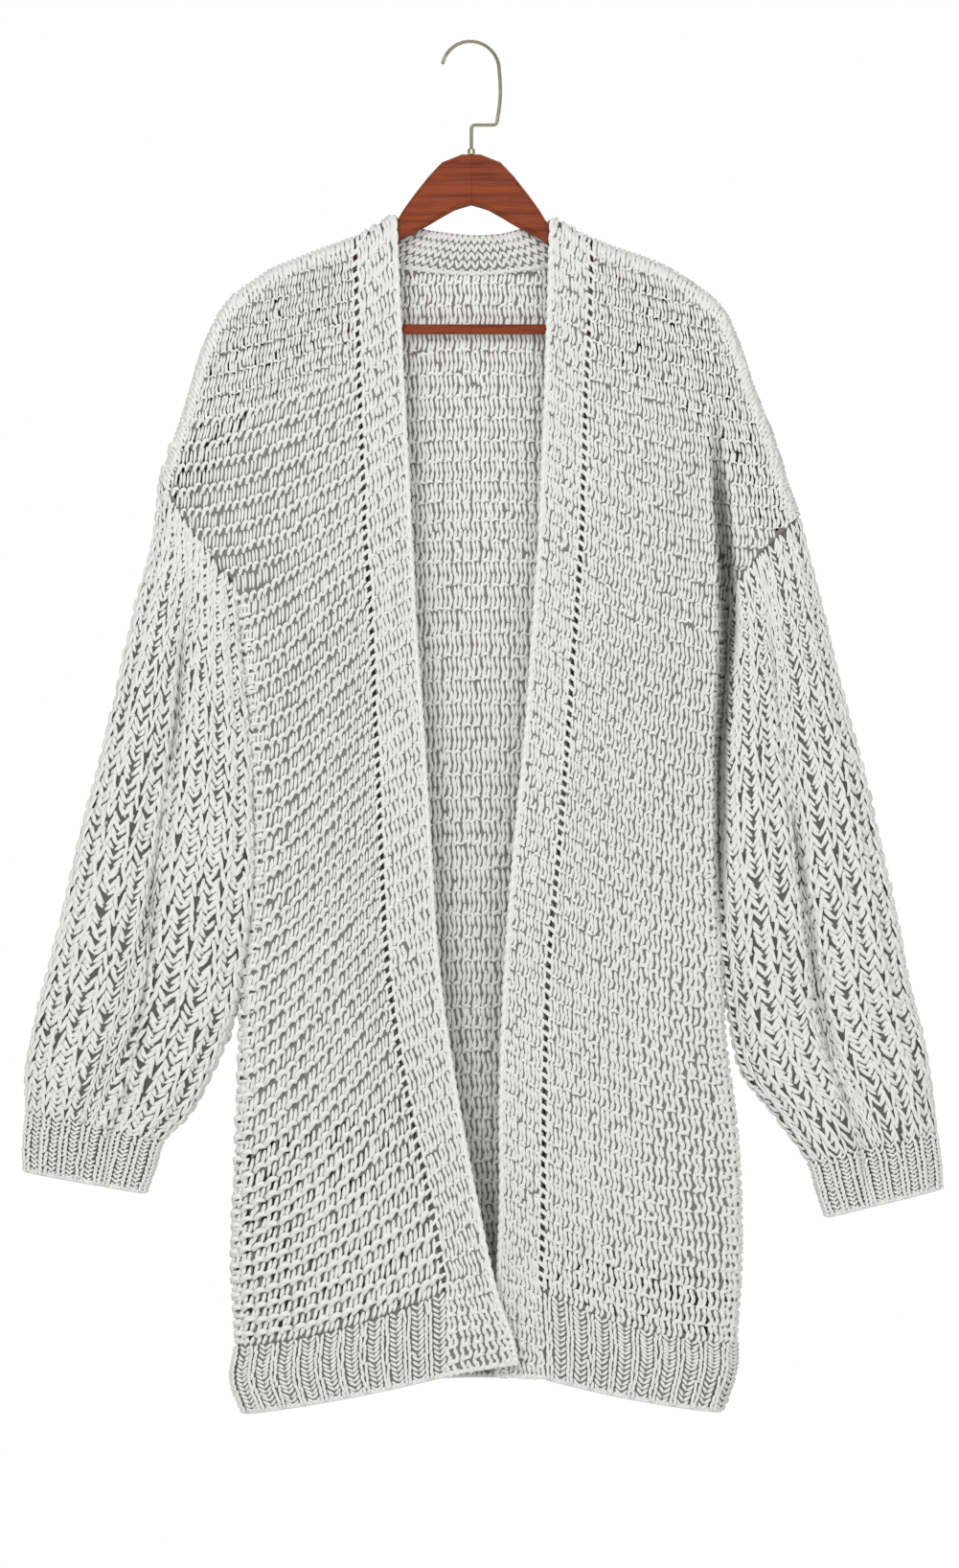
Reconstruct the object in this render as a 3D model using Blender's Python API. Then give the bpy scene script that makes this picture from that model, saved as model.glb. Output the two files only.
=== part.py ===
"""Chunky knitted cardigan with an open front, hanging flat on a wooden clothes hanger.

Units are metres with +Z up. The origin is the underside of the hook's arc, where a rail would
carry it. The cardigan faces -Y, so its right half, as the wearer has it, lies at -X. Each piece
that a maker would knit is a wall of its own around the empty body and sleeves.
"""

import math

import bmesh
import bpy
import numpy as np

MM = 0.001

# Driving sizes
WALL = 4.0 * MM  # thickness of the knitted cloth
SEAM_GAP = 0.3 * MM  # between two pieces at their seam
SEAM_END_GAP = 8.0  # how much wider the gap is at an armhole's two ends, where four walls meet
SEAM_END_REACH = 12.0 * MM
FOLD_DROP = 7.0 * MM  # how far below a shoulder fold the cloth reaches its full depth
UNDERARM_WALL = 0.5  # share of the wall left where body and sleeve part at the underarm
UNDERARM_REACH = 18.0 * MM
UNDERARM = 0.3  # the row, from shoulder 0 to ribbing 1, where the armhole ends
HEM_END = 1.1  # the row of the hem's lower edge
HEM_MIDDLE = 1.05
BACK_SHOULDER = 0.27  # part of the back's width that one shoulder takes
BULGE_END = 0.3  # the row below which the rows no longer follow the shoulder line
ARMHOLE_DEPTH = 14.0 * MM
ARMHOLE_MATCH = 0.16  # the ring below which a sleeve no longer follows the armhole
MIDDLE_REACH = 0.45  # part of a front's width over which it comes to its full depth
BACK_ARCH = 2.2  # how flat the back's rows are in the middle
BACK_CREASE = 0.7  # a sleeve's crease behind, against the one in front
CREASE_WIDTH = 0.11
NECK_TAPER = 0.1
CELL = 0.02 * MM  # points closer than this are one place
CELL_SHIFT = 0.371  # keeps round measures off the cells' edges
HEM_RIB_PITCH = 16.5 * MM
HEM_RIB_HEIGHT = 1.8 * MM
HEM_RIB_SAMPLES = (0.0, 0.46, 0.58, 0.90)  # a valley up to 0.46, then the raised part
HEM_RIB_SHAPE = (0.0, 0.0, 1.0, 1.0)
RIB_ROW_SHAPE = (0.0, 1.0, 1.0, 0.6)  # a rib's height down the rows of a hem or cuff
ROUND_RIB_SAMPLES = (0.0, 0.3, 0.7)
ROUND_RIB_SHAPE = (0.0, 1.0, 1.0)
SLEEVE_RIBS = 18
SLEEVE_RIB_HEIGHT = 1.6 * MM
CUFF_RIBS = 16
CUFF_RIB_HEIGHT = 1.6 * MM
SLEEVE_MIDDLE = 0.5  # the ring where the sleeve's ribs are evenly spaced
CUFF_MIDDLE = 1.06
CUFF_END = 1.12  # the ring of the cuff's open end, where the sleeve ends at ring 1

WOOD_THICKNESS = 10.0 * MM
WOOD_EDGE = 4.0 * MM
BAR_RADIUS = 3.8 * MM
BAR_HEIGHT = -215.0 * MM
BAR_REACH = 172.7 * MM
WIRE_RADIUS = 1.35 * MM
HOOK_RADIUS = 21.6 * MM
HOOK_CENTRE_X = -0.7 * MM
HOOK_OPENING = math.radians(168.0)
SHANK_X = 19.4 * MM
ELBOW_Z = -61.5 * MM
ELBOW_RADIUS = 3.0 * MM
SHANK_BOW = 1.6 * MM
FERRULE_RADIUS = 2.9 * MM
FERRULE_TOP = -79.2 * MM
FERRULE_FOOT = -83.1 * MM

# The two fronts in millimetres, one line for each measured row. The eyelet line parts a front
# from its band, the edge is the band's free edge, and the side is the armhole, then the side
# seam. The forward values say how far each line stands in front of the hanger's plane.
FRONT_COLUMNS = (
    "row", "eyelet_x", "eyelet_z", "edge_x", "edge_z", "side_x", "side_z", "sag",
    "eyelet_forward", "middle_forward", "edge_forward",
)
FRONT_RIGHT = (
    (0.000, -88, -148, -57, -130, -233, -329, 0, 9, 9, 9),
    (0.068, -86, -205, -54, -198, -224, -345, 0, 10, 11, 9),
    (0.150, -84, -270, -51, -261, -209, -367, 1, 11, 14, 9),
    (0.242, -81, -342, -47, -333, -189, -395, 2, 12, 16, 9),
    (0.300, -79, -386, -45, -379, -176, -414, 3, 12, 17, 9),
    (0.316, -78, -399, -44, -391, -172, -429, 3, 12, 17, 9),
    (0.352, -76, -428, -43, -420, -167, -472, 4, 13, 18, 9),
    (0.462, -72, -515, -37, -506, -161, -558, 5, 14, 19, 10),
    (0.581, -68, -608, -31, -600, -161, -650, 5, 15, 20, 11),
    (0.696, -63, -698, -25, -690, -171, -739, 5, 17, 21, 13),
    (0.822, -47, -798, -11, -789, -175, -835, 6, 20, 22, 18),
    (0.922, -30, -876, 4, -869, -178, -917, 7, 23, 23, 24),
    (1.000, -20, -937, 20, -941, -175, -979, 7, 24, 24, 26),
    (1.050, -19, -968, 30, -968, -178, -1004, 4, 25, 25, 27),
    (1.100, -19, -999, 35, -990, -169, -1028, 2, 25, 25, 27),
)
FRONT_LEFT = (
    (0.000, 91, -149, 60, -132, 245, -356, 0, 9, 9, 9),
    (0.068, 89, -205, 58, -198, 233, -368, 0, 10, 11, 9),
    (0.150, 86, -270, 56, -261, 217, -384, 1, 11, 13, 9),
    (0.242, 84, -342, 53, -333, 202, -402, 2, 12, 15, 9),
    (0.300, 82, -387, 51, -380, 192, -418, 3, 12, 16, 9),
    (0.316, 81, -400, 50, -392, 188, -433, 3, 12, 16, 9),
    (0.352, 79, -428, 48, -420, 186, -472, 4, 13, 17, 10),
    (0.462, 73, -515, 42, -506, 181, -544, 5, 14, 18, 10),
    (0.581, 66, -605, 33, -600, 182, -637, 5, 15, 19, 11),
    (0.696, 58, -695, 26, -690, 187, -731, 5, 16, 20, 12),
    (0.822, 55, -796, 22, -789, 199, -832, 6, 16, 20, 12),
    (0.922, 54, -876, 22, -869, 201, -917, 7, 16, 21, 13),
    (1.000, 53, -937, 20, -927, 197, -976, 8, 17, 22, 14),
    (1.050, 55, -968, 19, -964, 196, -997, 5, 17, 22, 14),
    (1.100, 56, -1002, 19, -1001, 186, -1027, 2, 17, 22, 14),
)

# The shoulder line of each half as x and z, from the eyelet line over the hanger's tip to the armhole.
SHOULDER_RIGHT = (
    (-88, -148), (-102, -153), (-136, -166), (-150, -172), (-162, -180), (-183, -197), (-192, -212),
    (-199, -228), (-205, -246), (-213, -274), (-219, -292), (-225, -310), (-233, -329),
)
SHOULDER_LEFT = (
    (91, -149), (98, -152), (144, -169), (167, -183), (186, -199), (199, -226), (211, -262),
    (225, -297), (236, -332), (245, -356),
)
SHOULDERS = (SHOULDER_RIGHT, SHOULDER_LEFT)

# The middle of the back, and how far the back stands behind the hanger's plane.
BACK_COLUMNS = ("row", "centre_z", "backward")
BACK = (
    (0.000, -175, 11), (0.068, -215, 12), (0.150, -275, 14), (0.242, -342, 15), (0.352, -425, 17),
    (0.462, -513, 18), (0.581, -605, 19), (0.696, -695, 20), (0.822, -795, 20), (0.922, -875, 21),
    (1.000, -937, 21), (1.050, -970, 22), (1.100, -1003, 22),
)

# The neck band from the right shoulder round the back of the neck to the left shoulder.
NECK_COLUMNS = ("along", "seam_x", "seam_z", "top_x", "top_z", "backward")
NECK = (
    (0.00, -88, -148, -57, -130, 0.0), (0.01, -87.7, -149, -56.6, -130.6, 5.0),
    (0.03, -86, -152, -55, -132, 9.0), (0.06, -82, -156, -52, -134, 11.0),
    (0.15, -66, -166, -37, -139, 11.0),
    (0.32, -37, -172, -20, -142, 11.0), (0.50, 0, -175, 0, -144, 11.0),
    (0.68, 37, -172, 22, -143, 11.0), (0.85, 70, -166, 38, -139, 11.0),
    (0.94, 85, -157, 54, -135, 11.0), (0.97, 89, -153, 58, -133.5, 9.0),
    (0.99, 90.7, -150, 59.6, -132.4, 5.0), (1.00, 91, -149, 60, -132, 0.0),
)

# The sleeves, one line for each ring, from the armhole to the cuff's open end.
SLEEVE_COLUMNS = ("ring", "outer_x", "outer_z", "inner_x", "inner_z", "half_depth", "crease", "crease_depth")
SLEEVE_RIGHT = (
    (0.000, -233, -329, -176, -414, 14, 0.45, 0.0), (0.032, -234, -344, -179.5, -428, 15, 0.45, 0.5),
    (0.090, -237, -371, -179, -445, 17, 0.45, 2.0),
    (0.200, -251, -426, -175, -482, 20, 0.46, 5.0), (0.320, -265, -490, -170, -529, 22, 0.46, 8.0),
    (0.440, -279, -549, -168, -580, 23, 0.45, 9.0), (0.545, -292, -598, -168, -626, 24, 0.45, 9.0),
    (0.660, -305, -655, -172, -680, 24, 0.48, 8.0), (0.760, -317, -703, -179, -727, 23, 0.52, 8.0),
    (0.850, -327, -742, -194, -767, 21, 0.56, 8.0), (0.930, -333, -774, -214, -804, 19, 0.60, 7.0),
    (1.000, -333, -802, -233, -824, 17, 0.62, 5.0), (1.060, -335, -824, -239, -843, 16, 0.64, 4.0),
    (1.120, -335, -847, -246, -863, 15, 0.66, 3.0),
)
SLEEVE_LEFT = (
    (0.000, 245, -356, 192, -418, 14, 0.55, 0.0), (0.032, 249, -372, 195.5, -432, 15, 0.55, 0.3),
    (0.090, 257, -404, 195, -448, 17, 0.55, 1.0),
    (0.200, 266, -443, 193, -480, 20, 0.55, 4.0), (0.320, 279, -497, 190, -526, 22, 0.54, 7.0),
    (0.440, 294, -554, 189, -580, 23, 0.53, 8.0), (0.545, 306, -608, 190, -634, 24, 0.50, 9.0),
    (0.660, 318, -662, 193, -688, 24, 0.50, 9.0), (0.760, 327, -709, 197, -731, 23, 0.50, 8.0),
    (0.850, 336, -742, 206, -772, 21, 0.52, 8.0), (0.930, 343, -778, 230, -804, 19, 0.56, 7.0),
    (1.000, 348, -818, 255, -840, 17, 0.60, 5.0), (1.060, 351, -840, 261, -860, 16, 0.62, 4.0),
    (1.120, 352, -860, 268, -881, 15, 0.64, 3.0),
)

# Long soft troughs: piece, first and last row, place across at each, half width, depth in mm.
TROUGHS = (
    ("front_right", 0.16, 0.80, 0.40, 0.60, 0.17, 7.0),
    ("front_right", 0.06, 0.34, 0.72, 0.80, 0.10, 3.5),
    ("front_left", 0.05, 0.36, 0.60, 0.74, 0.12, 4.0),
    ("front_left", 0.50, 0.98, 0.52, 0.46, 0.16, 4.0),
    ("back", 0.20, 0.92, 0.30, 0.26, 0.05, 5.0),
    ("back", 0.14, 0.80, 0.66, 0.72, 0.06, 6.0),
)

# The wooden hanger's half outline as x, top and bottom, in millimetres, the same on both sides.
HANGER = (
    (0, -83.5, -122), (7, -83.6, -124), (13, -86, -126), (22, -89.5, -131), (32, -100, -137),
    (43, -114, -143), (51, -125, -147), (56, -133.5, -150), (70, -140.8, -157), (88, -151.2, -168),
    (102, -157, -176), (136, -169.6, -190), (150, -176.8, -196), (163, -185.4, -203),
    (172.6, -193.6, -207), (173, -194.0, -221), (179, -200.5, -222), (183, -207.5, -219), (184.5, -212, -215),
)

# Rows and columns of the solids
SHOULDER_ROWS = (0.0, 0.0012, 0.0035, 0.008, 0.018, 0.05, 0.10, 0.15, 0.20, 0.25, 0.28, 0.294)
BODY_ROWS = (0.30, 0.316, 0.35, 0.41, 0.49, 0.58, 0.66, 0.74, 0.82, 0.91, 1.0)
HEM_ROWS = (1.0, 1.035, 1.07, 1.1)
BAND_COLUMNS = (0.0, 0.5, 1.0)
PANEL_COLUMNS = (0.0, 0.17, 0.31, 0.39, 0.46, 0.54, 0.66, 0.79, 0.90, 0.97, 1.0)
NECK_STATIONS = (0.0, 0.01, 0.03, 0.06, 0.15, 0.32, 0.50, 0.68, 0.85, 0.94, 0.97, 0.99, 1.0)
SLEEVE_RINGS = (0.0, 0.032, 0.10, 0.20, 0.32, 0.45, 0.58, 0.71, 0.83, 0.93, 1.0)
CUFF_RINGS = (1.0, 1.04, 1.08, 1.12)

COLOURS = {
    "yarn": ((0.73, 0.74, 0.70), 0.9, 0.0),
    "wood": ((0.24, 0.06, 0.024), 0.35, 0.0),
    "brass": ((0.62, 0.60, 0.50), 0.3, 1.0),
}


def clear_scene():
    for old in list(bpy.data.objects):
        bpy.data.objects.remove(old, do_unlink=True)


def material(name):
    colour, roughness, metallic = COLOURS[name]
    made = bpy.data.materials.new(name)
    made.use_nodes = True
    shader = made.node_tree.nodes["Principled BSDF"]
    shader.inputs["Base Color"].default_value = (*colour, 1.0)
    shader.inputs["Roughness"].default_value = roughness
    shader.inputs["Metallic"].default_value = metallic
    return made


def through(knots, values, at):
    """A smooth curve through a table's values, read at the places asked for."""
    knots = np.asarray(knots, float)
    values = np.asarray(values, float)
    slopes = np.gradient(values, knots)
    at = np.clip(np.asarray(at, float), knots[0], knots[-1])
    left = np.clip(np.searchsorted(knots, at, side="right") - 1, 0, len(knots) - 2)
    span = knots[left + 1] - knots[left]
    part = (at - knots[left]) / span
    rest = 1.0 - part
    ends = values[left] * (1 + 2 * part) * rest**2 + values[left + 1] * (3 - 2 * part) * part**2
    turns = slopes[left] * part * rest**2 - slopes[left + 1] * rest * part**2
    return ends + span * turns


def table_reader(columns, rows):
    """Read any named column of a table of millimetres at any place along its first column."""
    places = [row[0] for row in rows]

    def read(column, at, unit=MM):
        index = columns.index(column)
        return unit * through(places, [row[index] for row in rows], at)

    return read


def point(x, y, z):
    return np.stack(np.broadcast_arrays(x, y, z), axis=-1)


def step(low, high, value):
    part = np.clip((value - low) / (high - low), 0.0, 1.0)
    return part * part * (3 - 2 * part)


def round_rise(part):
    """A quarter round from 0 to 1, steep at its start."""
    return np.sqrt(np.clip(1 - (1 - np.clip(part, 0, 1)) ** 2, 0, 1))


def armhole_half_depth(row):
    across = np.clip(row / UNDERARM, 0, 1)
    return ARMHOLE_DEPTH * np.sqrt(np.clip(1 - np.abs(2 * across - 1) ** 3, 0, 1))


def side_roll(across):
    """How much of the depth is left where a panel rolls round to its side."""
    return np.sqrt(np.clip(1 - across**4, 0, 1))


def trough(piece, across, row):
    """How far the long soft troughs of a piece sink in."""
    sunk = 0.0
    for name, first, last, start, end, half_width, depth in TROUGHS:
        if name == piece:
            part = (row - first) / (last - first)
            middle = start + (end - start) * part
            along = step(0.0, 0.25, part) * (1 - step(0.7, 1.0, part))
            sunk = sunk + depth * MM * along * np.exp(-(((across - middle) / half_width) ** 2))
    return sunk


def shoulder_line(rows, across):
    """The shoulder line at each share of its length, as x and z."""
    line = np.array(rows, float) * MM
    lengths = np.concatenate([[0], np.cumsum(np.linalg.norm(np.diff(line, axis=0), axis=1))])
    places = across * lengths[-1]
    return through(lengths, line[:, 0], places), through(lengths, line[:, 1], places)


def bulge_share(row):
    return np.clip(1 - row / BULGE_END, 0, 1) ** 2


def front_points(piece, rows, shoulder, across, row):
    """The middle of a front's wall, from the eyelet line at 0 to the side at 1."""
    read = table_reader(FRONT_COLUMNS, rows)
    across = across[None, :]
    row = row[:, None]
    x = read("eyelet_x", row) * (1 - across) + read("side_x", row) * across
    z = read("eyelet_z", row) * (1 - across) + read("side_z", row) * across
    z = z - read("sag", row) * 4 * across * (1 - across)
    top_x, top_z = shoulder_line(shoulder, across)
    straight_x = read("eyelet_x", 0.0) * (1 - across) + read("side_x", 0.0) * across
    straight_z = read("eyelet_z", 0.0) * (1 - across) + read("side_z", 0.0) * across
    x = x + bulge_share(row) * (top_x - straight_x)
    z = z + bulge_share(row) * (top_z - straight_z)
    inward = step(0.0, MIDDLE_REACH, across)
    full = read("eyelet_forward", row) * (1 - inward) + read("middle_forward", row) * inward
    full = full - trough(piece, across, row)
    edge = armhole_half_depth(row) * (row < UNDERARM)
    forward = edge + (full - edge) * side_roll(across)
    fallen = np.hypot(x - top_x, z - top_z)
    return point(x, -forward * round_rise(fallen / FOLD_DROP), z)


def band_points(rows, across, row):
    """The middle of a front band's wall, from the eyelet line at 0 to its free edge at 1."""
    read = table_reader(FRONT_COLUMNS, rows)
    across = across[None, :]
    row = row[:, None]
    x = read("eyelet_x", row) * (1 - across) + read("edge_x", row) * across
    z = read("eyelet_z", row) * (1 - across) + read("edge_z", row) * across
    forward = read("eyelet_forward", row) * (1 - across) + read("edge_forward", row) * across
    top_x = read("eyelet_x", 0.0) * (1 - across) + read("edge_x", 0.0) * across
    top_z = read("eyelet_z", 0.0) * (1 - across) + read("edge_z", 0.0) * across
    fallen = np.hypot(x - top_x, z - top_z)
    return point(x, -forward * round_rise(fallen / FOLD_DROP), z)


def neck_points(along, up):
    """The middle of the neck band's wall, from its seam at 0 to its top edge at 1."""
    read = table_reader(NECK_COLUMNS, NECK)
    along = along[None, :]
    up = up[:, None]
    x = read("seam_x", along) * (1 - up) + read("top_x", along) * up
    z = read("seam_z", along) * (1 - up) + read("top_z", along) * up
    return point(x, read("backward", along) * (1 - NECK_TAPER * up), z)


def back_top(across):
    """The back's upper edge: a shoulder line, the neck seam and the other shoulder line."""
    right_x, right_z = shoulder_line(SHOULDER_RIGHT, np.clip(1 - across / BACK_SHOULDER, 0, 1))
    left_x, left_z = shoulder_line(SHOULDER_LEFT, np.clip(1 - (1 - across) / BACK_SHOULDER, 0, 1))
    neck = np.clip((across - BACK_SHOULDER) / (1 - 2 * BACK_SHOULDER), 0, 1)
    read = table_reader(NECK_COLUMNS, NECK)
    on_right = across <= BACK_SHOULDER
    on_left = across >= 1 - BACK_SHOULDER
    x = np.where(on_right, right_x, np.where(on_left, left_x, read("seam_x", neck)))
    z = np.where(on_right, right_z, np.where(on_left, left_z, read("seam_z", neck)))
    y = np.where(on_right | on_left, 0.0, read("backward", neck))
    return x, y, z


def back_points(across, row):
    """The middle of the back's wall, from the right side at 0 to the left side at 1."""
    right = table_reader(FRONT_COLUMNS, FRONT_RIGHT)
    left = table_reader(FRONT_COLUMNS, FRONT_LEFT)
    read = table_reader(BACK_COLUMNS, BACK)
    across = across[None, :]
    row = row[:, None]

    def plain(at):
        x = right("side_x", at) * (1 - across) + left("side_x", at) * across
        side_z = right("side_z", at) * (1 - across) + left("side_z", at) * across
        rise = 1 - np.abs(1 - 2 * across) ** BACK_ARCH
        return x, side_z + (read("centre_z", at) - side_z) * rise

    x, z = plain(row)
    top_x, top_y, top_z = back_top(across)
    straight_x, straight_z = plain(0.0)
    x = x + bulge_share(row) * (top_x - straight_x)
    z = z + bulge_share(row) * (top_z - straight_z)
    from_side = np.minimum(across, 1 - across) / BACK_SHOULDER
    edge = armhole_half_depth(row) * (row < UNDERARM)
    full = read("backward", row) - trough("back", across, row)
    backward = edge + (full - edge) * side_roll(np.clip(1 - from_side, 0, 1))
    fallen = np.hypot(x - top_x, z - top_z)
    return point(x, top_y + (backward - top_y) * round_rise(fallen / FOLD_DROP), z)


def sleeve_points(rows, armhole, around, ring):
    """The middle of a sleeve's wall. Around runs 0 to 1 over its front from the outer fold to the
    inner one, then 1 to 2 over its back."""
    read = table_reader(SLEEVE_COLUMNS, rows)
    around = around[None, :]
    ring = ring[:, None]
    across = np.where(around <= 1, around, 2 - around)
    facing = np.where(around <= 1, -1.0, 1.0)

    def plain(at):
        x = read("outer_x", at) * (1 - across) + read("inner_x", at) * across
        z = read("outer_z", at) * (1 - across) + read("inner_z", at) * across
        depth = read("half_depth", at) * np.sqrt(np.clip(1 - np.abs(2 * across - 1) ** 3, 0, 1))
        away = (across - read("crease", at, 1.0)) / CREASE_WIDTH
        sunk = read("crease_depth", at) * np.exp(-(away**2)) * np.where(facing < 0, 1.0, BACK_CREASE)
        return point(x, facing * (depth - sunk), z)

    matched = armhole[None, :, :] - plain(np.zeros((1, 1)))
    return plain(ring) + matched * (np.clip(1 - ring / ARMHOLE_MATCH, 0, 1) ** 2)[..., None]


class Cloth:
    """The middle surface of a stretch of cloth, read finely, with its outward normals."""

    def __init__(self, points, rows, columns, outward, closed=False):
        self.points = points
        self.rows = rows
        self.columns = columns
        self.closed = closed
        self.normals = self.vertex_normals(outward)

    def vertex_normals(self, outward):
        points = self.points
        if self.closed:
            points = np.concatenate([points, points[:, :1]], axis=1)
        along = points[1:, 1:] - points[:-1, :-1]
        over = points[1:, :-1] - points[:-1, 1:]
        faces = outward * np.cross(along, over)
        total = np.zeros_like(points)
        for down in (slice(None, -1), slice(1, None)):
            for side in (slice(None, -1), slice(1, None)):
                total[down, side] += faces
        if self.closed:
            total[:, 0] += total[:, -1]
            total = total[:, :-1]
        return total

    def at(self, rows, columns):
        """Points and normals at any rows and columns, read between the fine ones."""
        row = np.interp(rows, self.rows, np.arange(len(self.rows)))
        column = np.interp(columns, self.columns, np.arange(len(self.columns)))
        top = np.clip(np.floor(row).astype(int), 0, len(self.rows) - 2)
        left = np.clip(np.floor(column).astype(int), 0, len(self.columns) - 2)
        down = (row - top)[:, None, None]
        side = (column - left)[None, :, None]

        def read(values):
            upper = values[top][:, left] * (1 - side) + values[top][:, left + 1] * side
            lower = values[top + 1][:, left] * (1 - side) + values[top + 1][:, left + 1] * side
            return upper * (1 - down) + lower * down

        normals = read(self.normals)
        return read(self.points), normals / np.linalg.norm(normals, axis=-1, keepdims=True)


def cells_of(points):
    """The small cell that holds each point, so that points in one place share a name."""
    cells = np.floor(np.asarray(points).reshape(-1, 3) / CELL + CELL_SHIFT).astype(int)
    return [tuple(cell) for cell in cells]


def share_normals(cloths, fixed):
    """Give every point where stretches of cloth meet one normal, so that their walls line up."""
    shared = {}
    for cloth in cloths:
        for cell, normal in zip(cells_of(cloth.points), cloth.normals.reshape(-1, 3)):
            shared[cell] = shared.get(cell, 0.0) + normal
    for place, normal in fixed:
        shared[cells_of(place)[0]] = np.array(normal)
    for cloth in cloths:
        normals = np.array([shared[cell] for cell in cells_of(cloth.points)])
        normals = normals.reshape(cloth.points.shape)
        cloth.normals = normals / np.linalg.norm(normals, axis=-1, keepdims=True)


def underarm_places():
    places = []
    for table in (FRONT_RIGHT, FRONT_LEFT):
        read = table_reader(FRONT_COLUMNS, table)
        places.append((float(read("side_x", UNDERARM)), 0.0, float(read("side_z", UNDERARM))))
    return places


def nearness(points, places, reach):
    """1 at any of the places, falling to 0 beyond the reach."""
    near = np.zeros(points.shape[:-1])
    for place in places:
        away = np.linalg.norm(points - np.array(place), axis=-1) / reach
        near = np.maximum(near, np.exp(-(away**2)))
    return near


def half_wall(points):
    """Half the wall's thickness, which thins towards the clefts under the arms."""
    return WALL / 2 * (1 - (1 - UNDERARM_WALL) * nearness(points, underarm_places(), UNDERARM_REACH))


def draw_back(points, seams, closed):
    """Pull the seam edges of a piece in by half the gap to the next piece."""
    moved = points.copy()
    ends = underarm_places() + [(line[-1][0] * MM, 0.0, line[-1][1] * MM) for line in SHOULDERS]
    pull = SEAM_GAP / 2 * (1 + SEAM_END_GAP * nearness(points, ends, SEAM_END_REACH))
    edges = {"top": (0, 1, 0), "bottom": (-1, -2, 0), "left": (0, 1, 1), "right": (-1, -2, 1)}
    for seam in seams:
        first, second, axis = edges[seam]
        if axis == 1 and closed:
            continue
        edge = np.take(points, first, axis=axis)
        inner = np.take(points, second, axis=axis)
        way = inner - edge
        way = way / np.linalg.norm(way, axis=-1, keepdims=True)
        way = way * np.take(pull, first, axis=axis)[:, None]
        if axis == 0:
            moved[first] += way
        else:
            moved[:, first] += way
    return moved


def add_wall(name, cloth, rows, columns, seams, look, relief=0.0):
    """Make one piece of cloth: a wall whose outer points are raised by the relief."""
    rows = np.asarray(rows, float)
    columns = np.asarray(columns, float)
    points, normals = cloth.at(rows, columns)
    if cloth.closed:
        points = points[:, :-1]
        normals = normals[:, :-1]
    points = draw_back(points, seams, cloth.closed)
    raised = np.broadcast_to(np.asarray(relief, float), points.shape[:2])[..., None]
    half = half_wall(points)[..., None]
    outer = points + normals * (half + raised)
    inner = points - normals * half
    down, over = points.shape[:2]
    mesh = bmesh.new()
    sheets = []
    for sheet in (outer, inner):
        sheets.append([[mesh.verts.new(place) for place in line] for line in sheet])
    outside, inside = sheets
    last = over if cloth.closed else over - 1
    for i in range(down - 1):
        for j in range(last):
            k = (j + 1) % over
            mesh.faces.new((outside[i][j], outside[i][k], outside[i + 1][k], outside[i + 1][j]))
            mesh.faces.new((inside[i][j], inside[i + 1][j], inside[i + 1][k], inside[i][k]))
    for j in range(last):
        k = (j + 1) % over
        mesh.faces.new((outside[0][k], outside[0][j], inside[0][j], inside[0][k]))
        mesh.faces.new((outside[-1][j], outside[-1][k], inside[-1][k], inside[-1][j]))
    if not cloth.closed:
        for i in range(down - 1):
            mesh.faces.new((outside[i][0], outside[i + 1][0], inside[i + 1][0], inside[i][0]))
            mesh.faces.new((outside[i + 1][-1], outside[i][-1], inside[i][-1], inside[i + 1][-1]))
    return add_object(name, mesh, look)


def add_object(name, mesh, look):
    bmesh.ops.recalc_face_normals(mesh, faces=mesh.faces)
    data = bpy.data.meshes.new(name)
    mesh.to_mesh(data)
    mesh.free()
    data.shade_smooth()
    data.set_sharp_from_angle(angle=math.radians(50))
    data.materials.append(look)
    made = bpy.data.objects.new(name, data)
    bpy.context.collection.objects.link(made)
    return made


def fine_rows():
    """Rows for the middle surfaces, close together at the shoulder fold and the underarm."""
    turn = np.linspace(0, math.pi, 61)
    return np.concatenate([UNDERARM * (1 - np.cos(turn)) / 2, np.linspace(UNDERARM, HEM_END, 81)[1:]])


def fine_columns():
    """Columns for a panel, close together where it rolls round to its side."""
    return np.sin(np.linspace(0, math.pi / 2, 41))


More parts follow.
